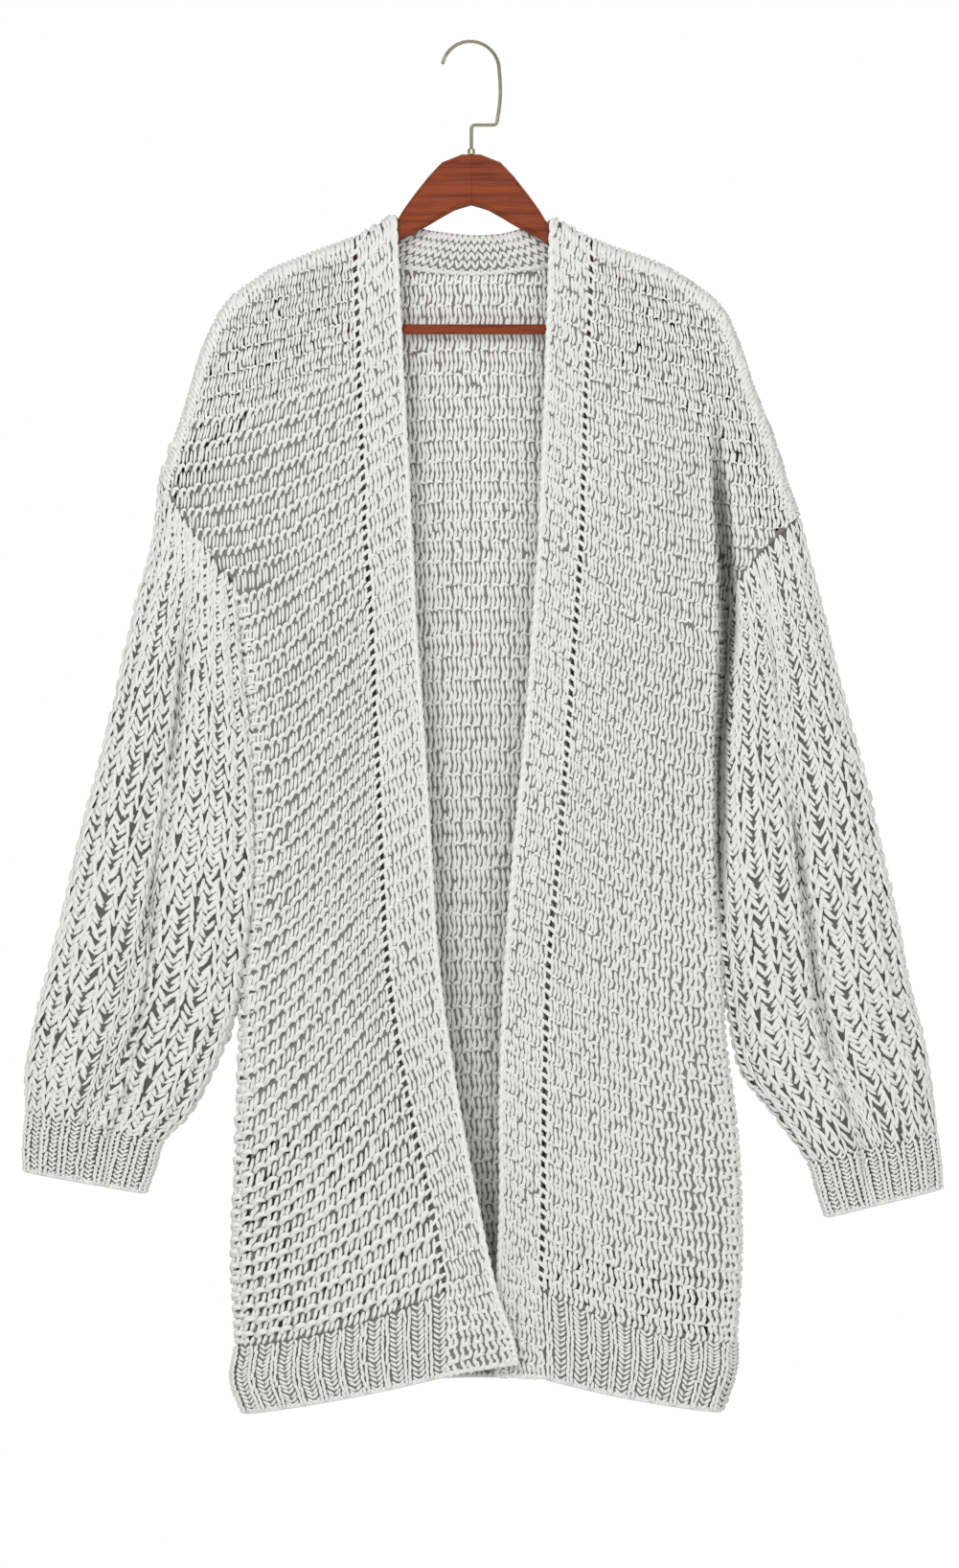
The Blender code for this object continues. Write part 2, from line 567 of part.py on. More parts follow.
def make_cloths():
    """All the middle surfaces, with shared normals where they meet."""
    rows = fine_rows()
    across = fine_columns()
    band = np.linspace(0, 1, 7)
    neck = np.unique(np.concatenate([np.linspace(0, 1, 61), NECK_STATIONS]))
    up = np.linspace(0, 1, 5)
    shoulder = BACK_SHOULDER * (1 - across[::-1])
    middle = BACK_SHOULDER + (1 - 2 * BACK_SHOULDER) * neck
    wide = np.concatenate([shoulder, middle[1:-1], 1 - shoulder[::-1]])
    cloths = {}
    for side, table, line, sleeve, turn in (
        ("right", FRONT_RIGHT, SHOULDER_RIGHT, SLEEVE_RIGHT, 1.0),
        ("left", FRONT_LEFT, SHOULDER_LEFT, SLEEVE_LEFT, -1.0),
    ):
        front = front_points(f"front_{side}", table, line, across, rows)
        cloths[f"front_{side}"] = Cloth(front, rows, across, turn)
        cloths[f"band_{side}"] = Cloth(band_points(table, band, rows), rows, band, -turn)
        top = rows[rows <= UNDERARM + 1e-9]
        column = front[: len(top), -1]
        around = np.concatenate([top / UNDERARM, 2 - top[-2:0:-1] / UNDERARM])
        back_column = column[-2:0:-1] * (1, -1, 1)
        ring = np.linspace(0, CUFF_END, 113)
        points = sleeve_points(sleeve, np.concatenate([column, back_column]), around, ring)
        tube = Cloth(points, ring, around, -turn, closed=True)
        tube.columns = np.append(around, 2.0)
        cloths[f"sleeve_{side}"] = tube
    cloths["back"] = Cloth(back_points(wide, rows), rows, wide, 1.0)
    cloths["neck"] = Cloth(neck_points(neck, up), up, neck, -1.0)
    down = (0.0, 0.0, -1.0)  # below each underarm is the cleft between body and sleeve
    share_normals(cloths.values(), [(place, down) for place in underarm_places()])
    for side in ("right", "left"):
        tube = cloths[f"sleeve_{side}"]
        tube.points = np.concatenate([tube.points, tube.points[:, :1]], axis=1)
        tube.normals = np.concatenate([tube.normals, tube.normals[:, :1]], axis=1)
    return cloths


def around_ribs(cloth, ring, count):
    """Places round a tube, evenly spaced at one ring, with the same samples to each rib."""
    points, _ = cloth.at([ring], cloth.columns)
    lengths = np.linalg.norm(np.diff(points[0], axis=0), axis=1)
    places = np.concatenate([[0], np.cumsum(lengths)])
    wanted = (np.arange(count)[:, None] + np.array(ROUND_RIB_SAMPLES)[None, :]).reshape(-1) / count
    return np.append(np.interp(wanted * places[-1], places, cloth.columns), 2.0)


def across_ribs(cloth, row):
    """Columns over a hem's ribs, and how much of a rib's height each has."""
    fine = np.linspace(0.0, 1.0, 200)
    points, _ = cloth.at([row], fine)
    places = np.concatenate([[0], np.cumsum(np.linalg.norm(np.diff(points[0], axis=0), axis=1))])
    count = round(places[-1] / HEM_RIB_PITCH)
    wanted = (np.arange(count)[:, None] + np.array(HEM_RIB_SAMPLES)[None, :]).reshape(-1) / count
    columns = np.append(np.interp(wanted * places[-1], places, fine), 1.0)
    return columns, np.append(np.tile(HEM_RIB_SHAPE, count), 0.0)


def add_body(cloths, look):
    """The back, the two fronts, the bands and the ribbed hems."""
    panel_rows = SHOULDER_ROWS + BODY_ROWS
    band_rows = panel_rows + HEM_ROWS[1:]
    down = HEM_RIB_HEIGHT * np.array(RIB_ROW_SHAPE)[:, None]
    for side in ("right", "left"):
        front = cloths[f"front_{side}"]
        add_wall(f"front_{side}", front, panel_rows, PANEL_COLUMNS, ("top", "bottom", "left", "right"), look)
        band = cloths[f"band_{side}"]
        add_wall(f"band_{side}", band, band_rows, BAND_COLUMNS, ("top", "left"), look)
        columns, height = across_ribs(front, HEM_MIDDLE)
        seams = ("top", "left", "right")
        add_wall(f"hem_rib_{side}", front, HEM_ROWS, columns, seams, look, down * height[None, :])
    back = cloths["back"]
    shoulder = [BACK_SHOULDER * (1 - place) for place in reversed(PANEL_COLUMNS)]
    middle = [BACK_SHOULDER + (1 - 2 * BACK_SHOULDER) * place for place in NECK_STATIONS[1:-1]]
    columns = shoulder + middle + [1 - place for place in reversed(shoulder)]
    add_wall("back", back, panel_rows, columns, ("top", "bottom", "left", "right"), look)
    columns, height = across_ribs(back, HEM_MIDDLE)
    seams = ("top", "left", "right")
    add_wall("hem_rib_back", back, HEM_ROWS, columns, seams, look, down * height[None, :])
    neck = cloths["neck"]
    add_wall("neck_band", neck, BAND_COLUMNS, NECK_STATIONS, ("top", "left", "right"), look)


def add_sleeves(cloths, look):
    """The sleeves with their broad columns, and the ribbed cuffs."""
    for side in ("right", "left"):
        tube = cloths[f"sleeve_{side}"]
        columns = around_ribs(tube, SLEEVE_MIDDLE, SLEEVE_RIBS)
        height = np.tile(ROUND_RIB_SHAPE, SLEEVE_RIBS)
        rings = np.array(SLEEVE_RINGS)[:, None]
        relief = SLEEVE_RIB_HEIGHT * step(0.0, 0.12, rings) * (1 - step(0.93, 1.0, rings)) * height
        add_wall(f"sleeve_{side}", tube, SLEEVE_RINGS, columns, ("top", "bottom"), look, relief)
        columns = around_ribs(tube, CUFF_MIDDLE, CUFF_RIBS)
        height = np.tile(ROUND_RIB_SHAPE, CUFF_RIBS)
        relief = CUFF_RIB_HEIGHT * np.array(RIB_ROW_SHAPE)[:, None] * height
        add_wall(f"cuff_{side}", tube, CUFF_RINGS, columns, ("top",), look, relief)


def add_hanger_wood(look):
    """The flat wooden yoke: a rounded upright section carried from one tip to the other."""
    stations = [(-x, top, bottom) for x, top, bottom in reversed(HANGER[1:])] + list(HANGER)
    half = WOOD_THICKNESS / 2
    mesh = bmesh.new()
    rings = []
    for x, top, bottom in stations:
        edge = min(WOOD_EDGE, (top - bottom) * MM / 3)
        ring = []
        for level, way in ((top * MM, 1.0), (bottom * MM, -1.0)):
            corners = [(half, edge), (half - 0.3 * edge, 0.3 * edge), (half - edge, 0.0)]
            side = [(y, level - way * drop) for y, drop in corners]
            side += [(-y, z) for y, z in reversed(side)]
            ring += side if way > 0 else side[::-1]
        rings.append([mesh.verts.new((x * MM, y, z)) for y, z in ring])
    count = len(rings[0])
    for first, second in zip(rings, rings[1:]):
        for i in range(count):
            k = (i + 1) % count
            mesh.faces.new((first[i], first[k], second[k], second[i]))
    mesh.faces.new(rings[0][::-1])
    mesh.faces.new(rings[-1])
    return add_object("hanger_wood", mesh, look)


def add_rod(name, radius, length, location, rotation, look, sides=16):
    mesh = bmesh.new()
    bmesh.ops.create_cone(mesh, cap_ends=True, segments=sides, radius1=radius, radius2=radius, depth=length)
    made = add_object(name, mesh, look)
    made.location = location
    made.rotation_euler = rotation
    return made


def add_ferrule(look):
    """A small collar on the wood, round the foot of the hook's wire."""
    mesh = bmesh.new()
    sides = 20
    bore = WIRE_RADIUS + SEAM_GAP
    profile = (
        (bore, FERRULE_FOOT), (FERRULE_RADIUS, FERRULE_FOOT), (FERRULE_RADIUS, FERRULE_TOP - 0.8 * MM),
        (FERRULE_RADIUS - 0.8 * MM, FERRULE_TOP), (bore, FERRULE_TOP),
    )
    rings = []
    for i in range(sides):
        turn = 2 * math.pi * i / sides
        rings.append([mesh.verts.new((r * math.cos(turn), r * math.sin(turn), z)) for r, z in profile])
    count = len(profile)
    for i in range(sides):
        first = rings[i]
        second = rings[(i + 1) % sides]
        for j in range(count):
            k = (j + 1) % count
            mesh.faces.new((first[j], second[j], second[k], first[k]))
    return add_object("hanger_ferrule", mesh, look)


def hook_path():
    """The wire's middle line: the arc, the bowed shank, the elbow back under it, and the stem."""
    top = WIRE_RADIUS
    centre_z = top - HOOK_RADIUS
    path = []
    for turn in np.linspace(HOOK_OPENING, 0.0, 17):
        path.append((HOOK_CENTRE_X + HOOK_RADIUS * math.cos(turn), centre_z + HOOK_RADIUS * math.sin(turn)))
    start_x = HOOK_CENTRE_X + HOOK_RADIUS
    low = ELBOW_Z + ELBOW_RADIUS
    for part in np.linspace(0.0, 1.0, 7)[1:]:
        x = start_x + (SHANK_X - start_x) * part + SHANK_BOW * math.sin(math.pi * part)
        path.append((x, centre_z + (low - centre_z) * part))
    for turn in np.linspace(0.0, -math.pi / 2, 5)[1:]:
        x = SHANK_X - ELBOW_RADIUS + ELBOW_RADIUS * math.cos(turn)
        path.append((x, low + ELBOW_RADIUS * math.sin(turn)))
    for turn in np.linspace(math.pi / 2, math.pi, 5):
        x = ELBOW_RADIUS + ELBOW_RADIUS * math.cos(turn)
        path.append((x, ELBOW_Z - ELBOW_RADIUS + ELBOW_RADIUS * math.sin(turn)))
    path.append((0.0, FERRULE_FOOT))
    return path


def add_hook(look):
    curve = bpy.data.curves.new("hanger_hook", "CURVE")
    curve.dimensions = "3D"
    curve.bevel_depth = WIRE_RADIUS
    curve.bevel_resolution = 2
    curve.use_fill_caps = True
    curve.materials.append(look)
    path = hook_path()
    spline = curve.splines.new("POLY")
    spline.points.add(len(path) - 1)
    for place, (x, z) in zip(spline.points, path):
        place.co = (x, 0.0, z, 1.0)
    spline.use_smooth = True
    made = bpy.data.objects.new("hanger_hook", curve)
    bpy.context.collection.objects.link(made)
    return made


def main():
    clear_scene()
    yarn = material("yarn")
    wood = material("wood")
    brass = material("brass")
    cloths = make_cloths()
    add_body(cloths, yarn)
    add_sleeves(cloths, yarn)
    add_hanger_wood(wood)
    across = (0.0, math.pi / 2, 0.0)
    add_rod("hanger_bar", BAR_RADIUS, 2 * BAR_REACH, (0.0, 0.0, BAR_HEIGHT), across, wood)
    add_hook(brass)
    add_ferrule(brass)


main()
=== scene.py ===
import math
import bmesh
import bpy
import mathutils
import numpy as np
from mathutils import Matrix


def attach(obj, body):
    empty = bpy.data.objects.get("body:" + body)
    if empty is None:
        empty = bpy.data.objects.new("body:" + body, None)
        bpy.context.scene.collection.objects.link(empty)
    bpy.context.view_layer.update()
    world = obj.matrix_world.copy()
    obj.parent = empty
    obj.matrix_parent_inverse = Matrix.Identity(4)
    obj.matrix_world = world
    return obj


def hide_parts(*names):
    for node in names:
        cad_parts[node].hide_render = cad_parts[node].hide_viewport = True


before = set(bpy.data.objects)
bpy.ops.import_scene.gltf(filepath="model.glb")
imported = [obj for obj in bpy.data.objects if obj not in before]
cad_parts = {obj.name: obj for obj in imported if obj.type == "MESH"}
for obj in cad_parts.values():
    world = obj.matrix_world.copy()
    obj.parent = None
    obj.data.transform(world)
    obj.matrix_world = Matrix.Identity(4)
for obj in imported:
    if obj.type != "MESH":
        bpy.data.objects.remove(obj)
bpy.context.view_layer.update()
print("frame loaded")

mm = 0.001
rng = np.random.default_rng(7)  # one seed, so every run knits the same stitches

# The cloth's middle surfaces, from the same measured tables as the part's source.
# Across and row place a point: row 0 is the shoulder, 1 the ribbing, 1.1 the hem's edge.
foldDrop = 7.0 * mm
underarm = 0.3
hemEnd = 1.1
backShoulder = 0.27
bulgeEnd = 0.3
armholeDepth = 14.0 * mm
armholeMatch = 0.16
middleReach = 0.45
backArch = 2.2
backCrease = 0.7
creaseWidth = 0.11
sharpCrease = 1.3  # the sleeves' creases are sharper than in the part
neckTaper = 0.1
cuffEnd = 1.12

# The two fronts in millimetres, one line for each measured row. The eyelet line parts a front
# from its band, the edge is the band's free edge, and the side is the armhole, then the side
# seam. The forward values say how far each line stands in front of the hanger's plane.
frontColumns = (
    "row", "eyeletX", "eyeletZ", "edgeX", "edgeZ", "sideX", "sideZ", "sag",
    "eyeletForward", "middleForward", "edgeForward",
)
frontRight = (
    (0.000, -88, -148, -57, -130, -233, -329, 0, 9, 9, 9),
    (0.068, -86, -205, -54, -198, -224, -345, 0, 10, 11, 9),
    (0.150, -84, -270, -51, -261, -209, -367, 1, 11, 14, 9),
    (0.242, -81, -342, -47, -333, -189, -395, 2, 12, 16, 9),
    (0.300, -79, -386, -45, -379, -176, -414, 3, 12, 17, 9),
    (0.316, -78, -399, -44, -391, -172, -429, 3, 12, 17, 9),
    (0.352, -76, -428, -43, -420, -167, -472, 4, 13, 18, 9),
    (0.462, -72, -515, -37, -506, -161, -558, 5, 14, 19, 10),
    (0.581, -68, -608, -31, -600, -161, -650, 5, 15, 20, 11),
    (0.696, -63, -698, -25, -690, -171, -739, 5, 17, 21, 13),
    (0.822, -47, -798, -11, -789, -175, -835, 6, 20, 22, 18),
    (0.922, -30, -876, 4, -869, -178, -917, 7, 23, 23, 24),
    (1.000, -20, -937, 20, -941, -175, -979, 7, 24, 24, 26),
    (1.050, -19, -968, 30, -968, -178, -1004, 4, 25, 25, 27),
    (1.100, -19, -999, 35, -990, -169, -1028, 2, 25, 25, 27),
)
frontLeft = (
    (0.000, 91, -149, 60, -132, 245, -356, 0, 9, 9, 9),
    (0.068, 89, -205, 58, -198, 233, -368, 0, 10, 11, 9),
    (0.150, 86, -270, 56, -261, 217, -384, 1, 11, 13, 9),
    (0.242, 84, -342, 53, -333, 202, -402, 2, 12, 15, 9),
    (0.300, 82, -387, 51, -380, 192, -418, 3, 12, 16, 9),
    (0.316, 81, -400, 50, -392, 188, -433, 3, 12, 16, 9),
    (0.352, 79, -428, 48, -420, 186, -472, 4, 13, 17, 10),
    (0.462, 73, -515, 42, -506, 181, -544, 5, 14, 18, 10),
    (0.581, 66, -605, 33, -600, 182, -637, 5, 15, 19, 11),
    (0.696, 58, -695, 26, -690, 187, -731, 5, 16, 20, 12),
    (0.822, 55, -796, 22, -789, 199, -832, 6, 16, 20, 12),
    (0.922, 54, -876, 22, -869, 201, -917, 7, 16, 21, 13),
    (1.000, 53, -937, 20, -927, 197, -976, 8, 17, 22, 14),
    (1.050, 55, -968, 19, -964, 196, -997, 5, 17, 22, 14),
    (1.100, 56, -1002, 19, -1001, 186, -1027, 2, 17, 22, 14),
)

# The shoulder line of each half as x and z, from the eyelet line over the hanger's tip to the
# armhole.
shoulderRight = (
    (-88, -148), (-102, -153), (-136, -166), (-150, -172), (-162, -180), (-183, -197), (-192, -212),
    (-199, -228), (-205, -246), (-213, -274), (-219, -292), (-225, -310), (-233, -329),
)
shoulderLeft = (
    (91, -149), (98, -152), (144, -169), (167, -183), (186, -199), (199, -226), (211, -262),
    (225, -297), (236, -332), (245, -356),
)

# The middle of the back, and how far the back stands behind the hanger's plane.
backColumns = ("row", "centreZ", "backward")
backTable = (
    (0.000, -175, 11), (0.068, -215, 12), (0.150, -275, 14), (0.242, -342, 15), (0.352, -425, 17),
    (0.462, -513, 18), (0.581, -605, 19), (0.696, -695, 20), (0.822, -795, 20), (0.922, -875, 21),
    (1.000, -937, 21), (1.050, -970, 22), (1.100, -1003, 22),
)

# The neck band from the right shoulder round the back of the neck to the left shoulder.
neckColumns = ("along", "seamX", "seamZ", "topX", "topZ", "backward")
neckTable = (
    (0.00, -88, -148, -57, -130, 0.0), (0.01, -87.7, -149, -56.6, -130.6, 5.0),
    (0.03, -86, -152, -55, -132, 9.0), (0.06, -82, -156, -52, -134, 11.0),
    (0.15, -66, -166, -37, -139, 11.0),
    (0.32, -37, -172, -20, -142, 11.0), (0.50, 0, -175, 0, -144, 11.0),
    (0.68, 37, -172, 22, -143, 11.0), (0.85, 70, -166, 38, -139, 11.0),
    (0.94, 85, -157, 54, -135, 11.0), (0.97, 89, -153, 58, -133.5, 9.0),
    (0.99, 90.7, -150, 59.6, -132.4, 5.0), (1.00, 91, -149, 60, -132, 0.0),
)

# The sleeves, one line for each ring, from the armhole to the cuff's open end.
sleeveColumns = ("ring", "outerX", "outerZ", "innerX", "innerZ", "halfDepth", "crease", "creaseDepth")
sleeveRight = (
    (0.000, -233, -329, -176, -414, 14, 0.45, 0.0), (0.032, -234, -344, -179.5, -428, 15, 0.45, 0.5),
    (0.090, -237, -371, -179, -445, 17, 0.45, 2.0),
    (0.200, -251, -426, -175, -482, 20, 0.46, 5.0), (0.320, -265, -490, -170, -529, 22, 0.46, 8.0),
    (0.440, -279, -549, -168, -580, 23, 0.45, 9.0), (0.545, -292, -598, -168, -626, 24, 0.45, 9.0),
    (0.660, -305, -655, -172, -680, 24, 0.48, 8.0), (0.760, -317, -703, -179, -727, 23, 0.52, 8.0),
    (0.850, -327, -742, -194, -767, 21, 0.56, 8.0), (0.930, -333, -774, -214, -804, 19, 0.60, 7.0),
    (1.000, -333, -802, -233, -824, 17, 0.62, 5.0), (1.060, -335, -824, -239, -843, 16, 0.64, 4.0),
    (1.120, -335, -847, -246, -863, 15, 0.66, 3.0),
)
sleeveLeft = (
    (0.000, 245, -356, 192, -418, 14, 0.55, 0.0), (0.032, 249, -372, 195.5, -432, 15, 0.55, 0.3),
    (0.090, 257, -404, 195, -448, 17, 0.55, 1.0),
    (0.200, 266, -443, 193, -480, 20, 0.55, 4.0), (0.320, 279, -497, 190, -526, 22, 0.54, 7.0),
    (0.440, 294, -554, 189, -580, 23, 0.53, 8.0), (0.545, 306, -608, 190, -634, 24, 0.50, 9.0),
    (0.660, 318, -662, 193, -688, 24, 0.50, 9.0), (0.760, 327, -709, 197, -731, 23, 0.50, 8.0),
    (0.850, 336, -742, 206, -772, 21, 0.52, 8.0), (0.930, 343, -778, 230, -804, 19, 0.56, 7.0),
    (1.000, 348, -818, 255, -840, 17, 0.60, 5.0), (1.060, 351, -840, 261, -860, 16, 0.62, 4.0),
    (1.120, 352, -860, 268, -881, 15, 0.64, 3.0),
)

# Long soft troughs: piece, first and last row, place across at each, half width, depth in mm.
troughs = (
    ("front_right", 0.16, 0.80, 0.40, 0.60, 0.17, 7.0),
    ("front_right", 0.06, 0.34, 0.72, 0.80, 0.10, 3.5),
    ("front_left", 0.05, 0.36, 0.60, 0.74, 0.12, 4.0),
    ("front_left", 0.50, 0.98, 0.52, 0.46, 0.16, 4.0),
    ("back", 0.20, 0.92, 0.30, 0.26, 0.05, 5.0),
    ("back", 0.14, 0.80, 0.66, 0.72, 0.06, 6.0),
)


def through(knots, values, at):
    # A smooth curve through a table's values, read at the places asked for.
    knots = np.asarray(knots, float)
    values = np.asarray(values, float)
    slopes = np.gradient(values, knots)
    at = np.clip(np.asarray(at, float), knots[0], knots[-1])
    left = np.clip(np.searchsorted(knots, at, side="right") - 1, 0, len(knots) - 2)
    span = knots[left + 1] - knots[left]
    part = (at - knots[left]) / span
    rest = 1.0 - part
    ends = values[left] * (1 + 2 * part) * rest**2 + values[left + 1] * (3 - 2 * part) * part**2
    turns = slopes[left] * part * rest**2 - slopes[left + 1] * rest * part**2
    return ends + span * turns


def tableReader(columns, rows):
    # Read any named column of a table of millimetres at any place along its first column.
    places = [row[0] for row in rows]

    def read(column, at, unit=mm):
        index = columns.index(column)
        return unit * through(places, [row[index] for row in rows], at)

    return read


def point(x, y, z):
    return np.stack(np.broadcast_arrays(x, y, z), axis=-1)


def step(low, high, value):
    part = np.clip((value - low) / (high - low), 0.0, 1.0)
    return part * part * (3 - 2 * part)


def between(first, last, share):
    return first * (1 - share) + last * share


def lineAcross(read, first, last, at, share):
    # x and z between two named lines of a table, such as the eyelet line and the side.
    return [between(read(first + axis, at), read(last + axis, at), share) for axis in "XZ"]


def lengthsOf(line):
    # The distance from the start of a line to each of its points.
    return np.concatenate([[0], np.cumsum(np.linalg.norm(np.diff(line, axis=0), axis=1))])


def readTable(table, down, over):
    # Values between the entries of a table, at fractional places.
    top = np.clip(np.floor(down).astype(int), 0, table.shape[0] - 2)
    left = np.clip(np.floor(over).astype(int), 0, table.shape[1] - 2)
    down, over = down - top, over - left
    if table.ndim == 3:
        down, over = down[..., None], over[..., None]
    upper = between(table[top, left], table[top, left + 1], over)
    lower = between(table[top + 1, left], table[top + 1, left + 1], over)
    return between(upper, lower, down)


def roundRise(part):
    # A quarter round from 0 to 1, steep at its start.
    return np.sqrt(np.clip(1 - (1 - np.clip(part, 0, 1)) ** 2, 0, 1))


def armholeHalfDepth(row):
    across = np.clip(row / underarm, 0, 1)
    return armholeDepth * np.sqrt(np.clip(1 - np.abs(2 * across - 1) ** 3, 0, 1))


def sideRoll(across):
    # How much of the depth is left where a panel rolls round to its side.
    return np.sqrt(np.clip(1 - across**4, 0, 1))


def trough(piece, across, row):
    # How far the long soft troughs of a piece sink in.
    sunk = 0.0
    for name, first, last, start, end, halfWidth, depth in troughs:
        if name == piece:
            part = (row - first) / (last - first)
            middle = start + (end - start) * part
            along = step(0.0, 0.25, part) * (1 - step(0.7, 1.0, part))
            sunk = sunk + depth * mm * along * np.exp(-(((across - middle) / halfWidth) ** 2))
    return sunk


def shoulderLine(rows, across):
    # The shoulder line at each share of its length, as x and z.
    line = np.array(rows, float) * mm
    lengths = lengthsOf(line)
    places = across * lengths[-1]
    return through(lengths, line[:, 0], places), through(lengths, line[:, 1], places)


def bulgeOut(line, top, straight, row):
    # Above the underarm a panel swells out to its shoulder line.
    share = np.clip(1 - row / bulgeEnd, 0, 1) ** 2
    return [value + share * (high - flat) for value, high, flat in zip(line, top, straight)]


def foldOver(x, z, top, start, depth):
    # The depth grows in a quarter round, down from the fold at the top.
    fallen = np.hypot(x - top[0], z - top[1])
    return point(x, start + (depth - start) * roundRise(fallen / foldDrop), z)


def frontPoints(piece, rows, shoulder, across, row):
    # The middle of a front's wall, from the eyelet line at 0 to the side at 1.
    read = tableReader(frontColumns, rows)
    across, row = across[None, :], row[:, None]
    x, z = lineAcross(read, "eyelet", "side", row, across)
    z = z - read("sag", row) * 4 * across * (1 - across)
    top = shoulderLine(shoulder, across)
    x, z = bulgeOut((x, z), top, lineAcross(read, "eyelet", "side", 0.0, across), row)
    inward = step(0.0, middleReach, across)
    full = between(read("eyeletForward", row), read("middleForward", row), inward)
    full = full - trough(piece, across, row)
    edge = armholeHalfDepth(row) * (row < underarm)
    forward = edge + (full - edge) * sideRoll(across)
    return foldOver(x, z, top, 0.0, -forward)


def bandPoints(rows, across, row):
    # The middle of a front band's wall, from the eyelet line at 0 to its free edge at 1.
    read = tableReader(frontColumns, rows)
    across, row = across[None, :], row[:, None]
    x, z = lineAcross(read, "eyelet", "edge", row, across)
    forward = between(read("eyeletForward", row), read("edgeForward", row), across)
    return foldOver(x, z, lineAcross(read, "eyelet", "edge", 0.0, across), 0.0, -forward)


def neckPoints(along, up):
    # The middle of the neck band's wall, from its seam at 0 to its top edge at 1.
    read = tableReader(neckColumns, neckTable)
    along, up = along[None, :], up[:, None]
    x, z = lineAcross(read, "seam", "top", along, up)
    return point(x, read("backward", along) * (1 - neckTaper * up), z)


def backTop(across):
    # The back's upper edge: a shoulder line, the neck seam and the other shoulder line.
    rightX, rightZ = shoulderLine(shoulderRight, np.clip(1 - across / backShoulder, 0, 1))
    leftX, leftZ = shoulderLine(shoulderLeft, np.clip(1 - (1 - across) / backShoulder, 0, 1))
    neck = np.clip((across - backShoulder) / (1 - 2 * backShoulder), 0, 1)
    read = tableReader(neckColumns, neckTable)
    onRight = across <= backShoulder
    onLeft = across >= 1 - backShoulder
    x = np.where(onRight, rightX, np.where(onLeft, leftX, read("seamX", neck)))
    z = np.where(onRight, rightZ, np.where(onLeft, leftZ, read("seamZ", neck)))
    y = np.where(onRight | onLeft, 0.0, read("backward", neck))
    return x, y, z


def backPoints(across, row):
    # The middle of the back's wall, from the right side at 0 to the left side at 1.
    right = tableReader(frontColumns, frontRight)
    left = tableReader(frontColumns, frontLeft)
    read = tableReader(backColumns, backTable)
    across, row = across[None, :], row[:, None]

    def plain(at):
        x = between(right("sideX", at), left("sideX", at), across)
        sideZ = between(right("sideZ", at), left("sideZ", at), across)
        rise = 1 - np.abs(1 - 2 * across) ** backArch
        return x, sideZ + (read("centreZ", at) - sideZ) * rise

    topX, topY, topZ = backTop(across)
    x, z = bulgeOut(plain(row), (topX, topZ), plain(0.0), row)
    fromSide = np.minimum(across, 1 - across) / backShoulder
    edge = armholeHalfDepth(row) * (row < underarm)
    full = read("backward", row) - trough("back", across, row)
    backward = edge + (full - edge) * sideRoll(np.clip(1 - fromSide, 0, 1))
    return foldOver(x, z, (topX, topZ), topY, backward)


def sleevePoints(rows, armhole, around, ring):
    # The middle of a sleeve's wall. Around runs 0 to 1 over its front from the outer fold to the
    # inner one, then 1 to 2 over its back.
    read = tableReader(sleeveColumns, rows)
    around, ring = around[None, :], ring[:, None]
    across = np.where(around <= 1, around, 2 - around)
    facing = np.where(around <= 1, -1.0, 1.0)

    def plain(at):
        x, z = lineAcross(read, "outer", "inner", at, across)
        depth = read("halfDepth", at) * np.sqrt(np.clip(1 - np.abs(2 * across - 1) ** 3, 0, 1))
        away = (across - read("crease", at, 1.0)) / creaseWidth
        fold = np.exp(-(away**2)) + sharpCrease * np.exp(-((3 * away) ** 2))
        sunk = read("creaseDepth", at) * fold * np.where(facing < 0, 1.0, backCrease)
        return point(x, facing * (depth - sunk), z)

    matched = armhole[None, :, :] - plain(np.zeros((1, 1)))
    return plain(ring) + matched * (np.clip(1 - ring / armholeMatch, 0, 1) ** 2)[..., None]


def vertexNormals(points, outward, closed):
    # Summed face normals of a grid of points, round the seam too when it's a tube.
    if closed:
        points = np.concatenate([points, points[:, :1]], axis=1)
    along = points[1:, 1:] - points[:-1, :-1]
    over = points[1:, :-1] - points[:-1, 1:]
    faces = outward * np.cross(along, over)
    total = np.zeros_like(points)
    for down in (slice(None, -1), slice(1, None)):
        for side in (slice(None, -1), slice(1, None)):
            total[down, side] += faces
    if closed:
        total[:, 0] += total[:, -1]
        total = total[:, :-1]
    return total


class Cloth:
    # One stretch of cloth: its fine points and normals, and how to find a place on it.
    def __init__(self, points, rows, columns, outward, closed=False):
        self.points = points
        self.rows = rows
        self.columns = columns
        self.closed = closed
        self.normals = vertexNormals(points, outward, closed)

    def place(self, across, row, height=0.0):
        # Points raised off the cloth by a height, and the cloth's normals there.
        across, row, height = np.broadcast_arrays(across, row, height)
        if self.closed:
            across = np.mod(across, 2.0)
        down = np.interp(row, self.rows, np.arange(len(self.rows)))
        over = np.interp(across, self.columns, np.arange(len(self.columns)))
        normal = readTable(self.normals, down, over)
        normal = normal / np.linalg.norm(normal, axis=-1, keepdims=True)
        return readTable(self.points, down, over) + normal * height[..., None], normal

    def lengthAlong(self, row):
        # Distances along one row of the cloth, at each of its columns.
        return lengthsOf(self.place(self.columns, np.full(len(self.columns), row))[0])


